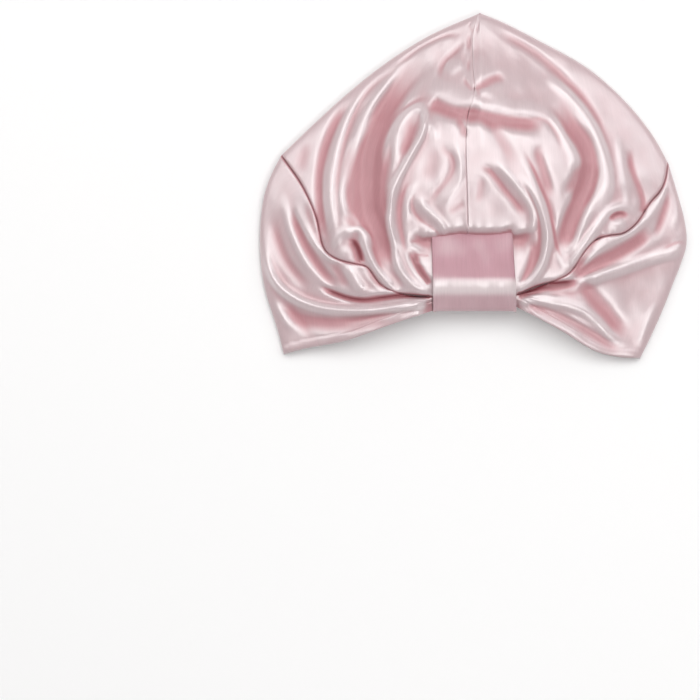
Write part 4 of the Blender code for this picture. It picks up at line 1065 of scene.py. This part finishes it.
def tubeMesh(name, grid, paintedShading, wall, finish, capped=False):
    # Faces between neighbouring points; the first index runs round the section and closes on itself
    around, along = grid.shape[:2]
    index = np.arange(around * along).reshape(around, along)
    closed = np.concatenate([index, index[:1]])
    corners = np.stack([closed[:-1, :-1], closed[:-1, 1:], closed[1:, 1:], closed[1:, :-1]], axis=-1)
    faces = corners.reshape(-1, 4).tolist()
    flat = flatPlaces(np.concatenate([grid, grid[:1]])).reshape(-1, 2)
    points = grid.reshape(-1, 3)
    if capped:
        ends = grid[:, [0, -1]].mean(axis=0)
        points = np.concatenate([points, ends])
        paintedShading = np.concatenate([paintedShading.reshape(-1), [0.0, 0.0]])
        first, last = (np.stack([closed[:-1, k], closed[1:, k]], axis=1).tolist() for k in (0, -1))
        faces += [[one, two, len(points) - 2] for one, two in first]
        faces += [[two, one, len(points) - 1] for one, two in last]
    mesh = bpy.data.meshes.new(name)
    mesh.from_pydata(points.tolist(), [], faces)
    # The last turn's corners take the places of the row past the seam, so that the pattern runs on
    seam = (np.arange(around * along + along)).reshape(around + 1, along)
    cut = np.stack([seam[:-1, :-1], seam[:-1, 1:], seam[1:, 1:], seam[1:, :-1]], axis=-1).reshape(-1)
    onCloth = flat[cut]
    if capped:
        onCloth = np.concatenate([onCloth, np.zeros((len(mesh.loops) - len(onCloth), 2))])
    return dressed(mesh, onCloth, paintedShading.reshape(-1), wall, finish)


def makeCasing(finish):
    # A flattened tube between the seam and the lower edge: its section is a rounded ellipse whose thickness
    # and width rise and fall with each pleat, squeezed along two rows of stitches
    stations = np.linspace(0.0, 1.0, casing["stations"] + 1)
    top = smoothPath(casingTop(casing["seamCells"])[::casing["seamStep"]], stations)
    bottom = smoothPath(inMetres(casingBottom), stations)
    top[:, 1] -= casing["gap"]
    middle, half = (top + bottom) / 2, (top - bottom) / 2
    turn = -np.linspace(0.0, 2 * np.pi, casing["around"], endpoint=False)[:, None]
    size, waves = casing["drift"]
    phase = 2 * np.pi * casing["pleats"] * stations + size * np.sin(2 * np.pi * stations * waves)
    power = casing["roundness"]
    ridge = (0.5 + 0.5 * np.sin(phase)) ** power
    taper, abruptness = casing["endTaper"]
    ends = np.sqrt(1 - taper * (np.abs(stations - 0.5) * 2) ** abruptness)
    least, added = casing["thin"]
    thick = casing["thickness"] / 2 * (least + added * ridge) * ends
    most, lost = casing["wide"]
    wide = (most - lost * (1 - ridge)) * ends
    sine, cosine = np.sin(turn), np.cos(turn)
    over = np.sign(cosine) * np.abs(cosine) ** power * wide[None]
    up = np.sign(sine) * np.abs(sine) ** power * thick[None]
    depth, at, reach = casing["stitch"]
    squeeze = 1 - depth * np.exp(-((over + at) / reach) ** 2) - depth * np.exp(-((over - at) / reach) ** 2)
    x = middle[None, :, 0] + half[None, :, 0] * over
    y = middle[None, :, 1] + half[None, :, 1] * over
    z = casing["thickness"] / 2 + casing["floorGap"] + up * squeeze
    low, high = x.min(), x.max()
    x = low + casing["endGap"] + (x - low) * (1 - 2 * casing["endGap"] / (high - low))
    grid = np.stack([x, y, z], axis=-1)
    # Painted shade between the pleats
    paintedShading = np.broadcast_to(casing["shadeLevel"] * (1 - ridge)[None], x.shape)
    return tubeMesh("casing_cloth", grid, paintedShading, 0.0, finish, capped=True)


print("stage: materials")
satin = {
    # name: colour on a crest (painted highlight), where it is even, in a valley (painted shade) and in a slit
    # (painted shadow); then gloss (coat weight) where it is even and in a valley, lowered in valleys as
    # painted shade of the reflection, and the gloss's roughness
    "satin": ((0.650, 0.520, 0.538), (0.585, 0.435, 0.455), (0.510, 0.240, 0.265), (0.220, 0.038, 0.050),
              1.00, 0.15, 0.31),
    "satin_band": ((0.800, 0.690, 0.700), (0.800, 0.690, 0.700), (0.480, 0.250, 0.295), (0.230, 0.045, 0.060),
                   1.00, 0.10, 0.32),
    "casing": ((0.620, 0.490, 0.505), (0.560, 0.415, 0.435), (0.480, 0.220, 0.245), (0.230, 0.045, 0.060),
               0.85, 0.10, 0.38),
    # range of the painted shading: below zero painted highlight on crests, above zero painted shade in
    # valleys and slits
    "shadingRange": (-0.9, 2.0),
    "evenAt": -0.1,
    "valleyAt": 0.9,
    "glossFrom": -0.2,
    "glossRefraction": 2.6,
    "baseRoughness": 0.6,
    "sheen": 0.25,
    "sheenRoughness": 0.4,
    "threadsEachMetre": 2600.0,
    "threadWaver": (1.2, 1.0, 0.4),     # distortion, detail and the detail's scale
    "slubsEachMetre": 900.0,
    "slubStretch": (1.0, 0.08, 1.0),
    "slubDetail": 2.0,
    "cloudsEachMetre": 26.0,
    "cloudDetail": 3.0,
    "slubShade": 0.9,
    "shadeShare": 0.20,
    "bump": (0.35, 0.00008),            # strength and distance
}


def threadGroup():
    # Fine threads, longer slubs and slow clouds of shade, all from a place on the cut cloth in metres
    group = bpy.data.node_groups.new("satin threads", "ShaderNodeTree")
    group.interface.new_socket("Place", in_out="INPUT", socket_type="NodeSocketVector")
    group.interface.new_socket("Height", in_out="OUTPUT", socket_type="NodeSocketFloat")
    group.interface.new_socket("Shade", in_out="OUTPUT", socket_type="NodeSocketFloat")
    nodes, links = group.nodes, group.links
    given, result = nodes.new("NodeGroupInput"), nodes.new("NodeGroupOutput")
    threads = nodes.new("ShaderNodeTexWave")
    threads.bands_direction = "X"
    threads.inputs["Scale"].default_value = satin["threadsEachMetre"] / (2 * np.pi)
    for socket, value in zip(("Distortion", "Detail", "Detail Scale"), satin["threadWaver"]):
        threads.inputs[socket].default_value = value
    stretch = nodes.new("ShaderNodeVectorMath")
    stretch.operation = "MULTIPLY"
    stretch.inputs[1].default_value = satin["slubStretch"]
    slubs = nodes.new("ShaderNodeTexNoise")
    slubs.inputs["Scale"].default_value = satin["slubsEachMetre"]
    slubs.inputs["Detail"].default_value = satin["slubDetail"]
    clouds = nodes.new("ShaderNodeTexNoise")
    clouds.inputs["Scale"].default_value = satin["cloudsEachMetre"]
    clouds.inputs["Detail"].default_value = satin["cloudDetail"]
    height = nodes.new("ShaderNodeMath")
    height.operation = "ADD"
    shade = nodes.new("ShaderNodeMath")
    shade.operation = "MULTIPLY_ADD"
    shade.inputs[1].default_value = satin["slubShade"]
    links.new(given.outputs["Place"], threads.inputs["Vector"])
    links.new(given.outputs["Place"], stretch.inputs[0])
    links.new(stretch.outputs[0], slubs.inputs["Vector"])
    links.new(given.outputs["Place"], clouds.inputs["Vector"])
    links.new(threads.outputs["Fac"], height.inputs[0])
    links.new(slubs.outputs["Fac"], height.inputs[1])
    links.new(slubs.outputs["Fac"], shade.inputs[0])
    links.new(clouds.outputs["Fac"], shade.inputs[2])
    links.new(height.outputs[0], result.inputs["Height"])
    links.new(shade.outputs[0], result.inputs["Shade"])
    return group


def satinFinish(name, threads):
    # Painted shade and highlight: colour and gloss follow how hollow the cloth lies, darker and less glossy
    # in valleys and lighter on crests; the threads shade the colour at random and raise the surface
    crest, even, valley, slit, glossHigh, glossLow, roughness = satin[name]
    finish = bpy.data.materials.new(name)
    finish.use_nodes = True
    nodes, links = finish.node_tree.nodes, finish.node_tree.links
    shader = nodes["Principled BSDF"]
    cut = nodes.new("ShaderNodeUVMap")
    cut.uv_map = "cut"
    weave = nodes.new("ShaderNodeGroup")
    weave.node_tree = threads
    paintedShading = nodes.new("ShaderNodeAttribute")
    paintedShading.attribute_name = "paintedShading"
    depth = nodes.new("ShaderNodeMapRange")
    lowest, highest = satin["shadingRange"]
    evenAt, valleyAt, glossFrom = ((satin[key] - lowest) / (highest - lowest)
                                   for key in ("evenAt", "valleyAt", "glossFrom"))
    depth.inputs["From Min"].default_value = lowest
    depth.inputs["From Max"].default_value = highest
    # painted shade and highlight: the ramp picks the crest, even, valley or slit colour by the painted
    # shading
    colour = nodes.new("ShaderNodeValToRGB")
    colour.color_ramp.elements[0].color = (*crest, 1)
    colour.color_ramp.elements[1].color = (*slit, 1)
    colour.color_ramp.elements.new(evenAt).color = (*even, 1)
    colour.color_ramp.elements.new(valleyAt).color = (*valley, 1)
    cloudy = nodes.new("ShaderNodeMix")
    cloudy.data_type = "RGBA"
    cloudy.blend_type = "MULTIPLY"
    cloudy.inputs[0].default_value = satin["shadeShare"]
    bump = nodes.new("ShaderNodeBump")
    bump.inputs["Strength"].default_value = satin["bump"][0]
    bump.inputs["Distance"].default_value = satin["bump"][1]
    links.new(cut.outputs["UV"], weave.inputs["Place"])
    links.new(paintedShading.outputs["Fac"], depth.inputs["Value"])
    links.new(depth.outputs["Result"], colour.inputs["Fac"])
    # painted shade of the reflection: the coat's gloss falls from crests to valleys
    gloss = nodes.new("ShaderNodeMapRange")
    gloss.inputs["From Min"].default_value = glossFrom
    gloss.inputs["From Max"].default_value = valleyAt
    gloss.inputs["To Min"].default_value = glossHigh
    gloss.inputs["To Max"].default_value = glossLow
    links.new(depth.outputs["Result"], gloss.inputs["Value"])
    links.new(gloss.outputs["Result"], shader.inputs["Coat Weight"])
    links.new(colour.outputs["Color"], cloudy.inputs[6])
    links.new(weave.outputs["Shade"], cloudy.inputs[7])
    links.new(cloudy.outputs[2], shader.inputs["Base Color"])
    links.new(weave.outputs["Height"], bump.inputs["Height"])
    links.new(bump.outputs["Normal"], shader.inputs["Normal"])
    shader.inputs["Roughness"].default_value = satin["baseRoughness"]
    shader.inputs["Coat IOR"].default_value = satin["glossRefraction"]
    shader.inputs["Coat Roughness"].default_value = roughness
    shader.inputs["Sheen Weight"].default_value = satin["sheen"]
    shader.inputs["Sheen Roughness"].default_value = satin["sheenRoughness"]
    return finish


threads = threadGroup()
finishes = {name: satinFinish(name, threads) for name in ("satin", "satin_band", "casing")}

print("stage: panels")
crownLeft = makeCrown(panels["left"], "left", finishes["satin"])
crownRight = makeCrown(panels["right"], "right", finishes["satin"])
wrapLeft = makeWrap(panels["left"], "left", finishes["satin"])
wrapRight = makeWrap(panels["right"], "right", finishes["satin"])
print("stage: loop and casing")
loopPiece = makeLoop(finishes["satin_band"])
casingPiece = makeCasing(finishes["casing"])

sheets = {
    # node: piece, slot, cut width and length, area of the cut, how it is held
    "crown_left": (crownLeft, "satin", (0.275, 0.215), 0.038, "gathered"),
    "crown_right": (crownRight, "satin", (0.275, 0.215), 0.038, "gathered"),
    "wrap_left": (wrapLeft, "satin", (0.29, 0.12), 0.027, "gathered"),
    "wrap_right": (wrapRight, "satin", (0.29, 0.12), 0.027, "gathered"),
    "front_loop": (loopPiece, "satin_band", (0.120, 0.058), None, "folded"),
}
for node, (piece, slot, flat, area, held) in sheets.items():
    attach(piece, "root")
    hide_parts(node)
    measured = sum(face.area for face in piece.data.polygons)
    print(node, "measured area", round(measured, 4), "faces", len(piece.data.polygons))
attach(casingPiece, "root")
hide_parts("nape_casing")
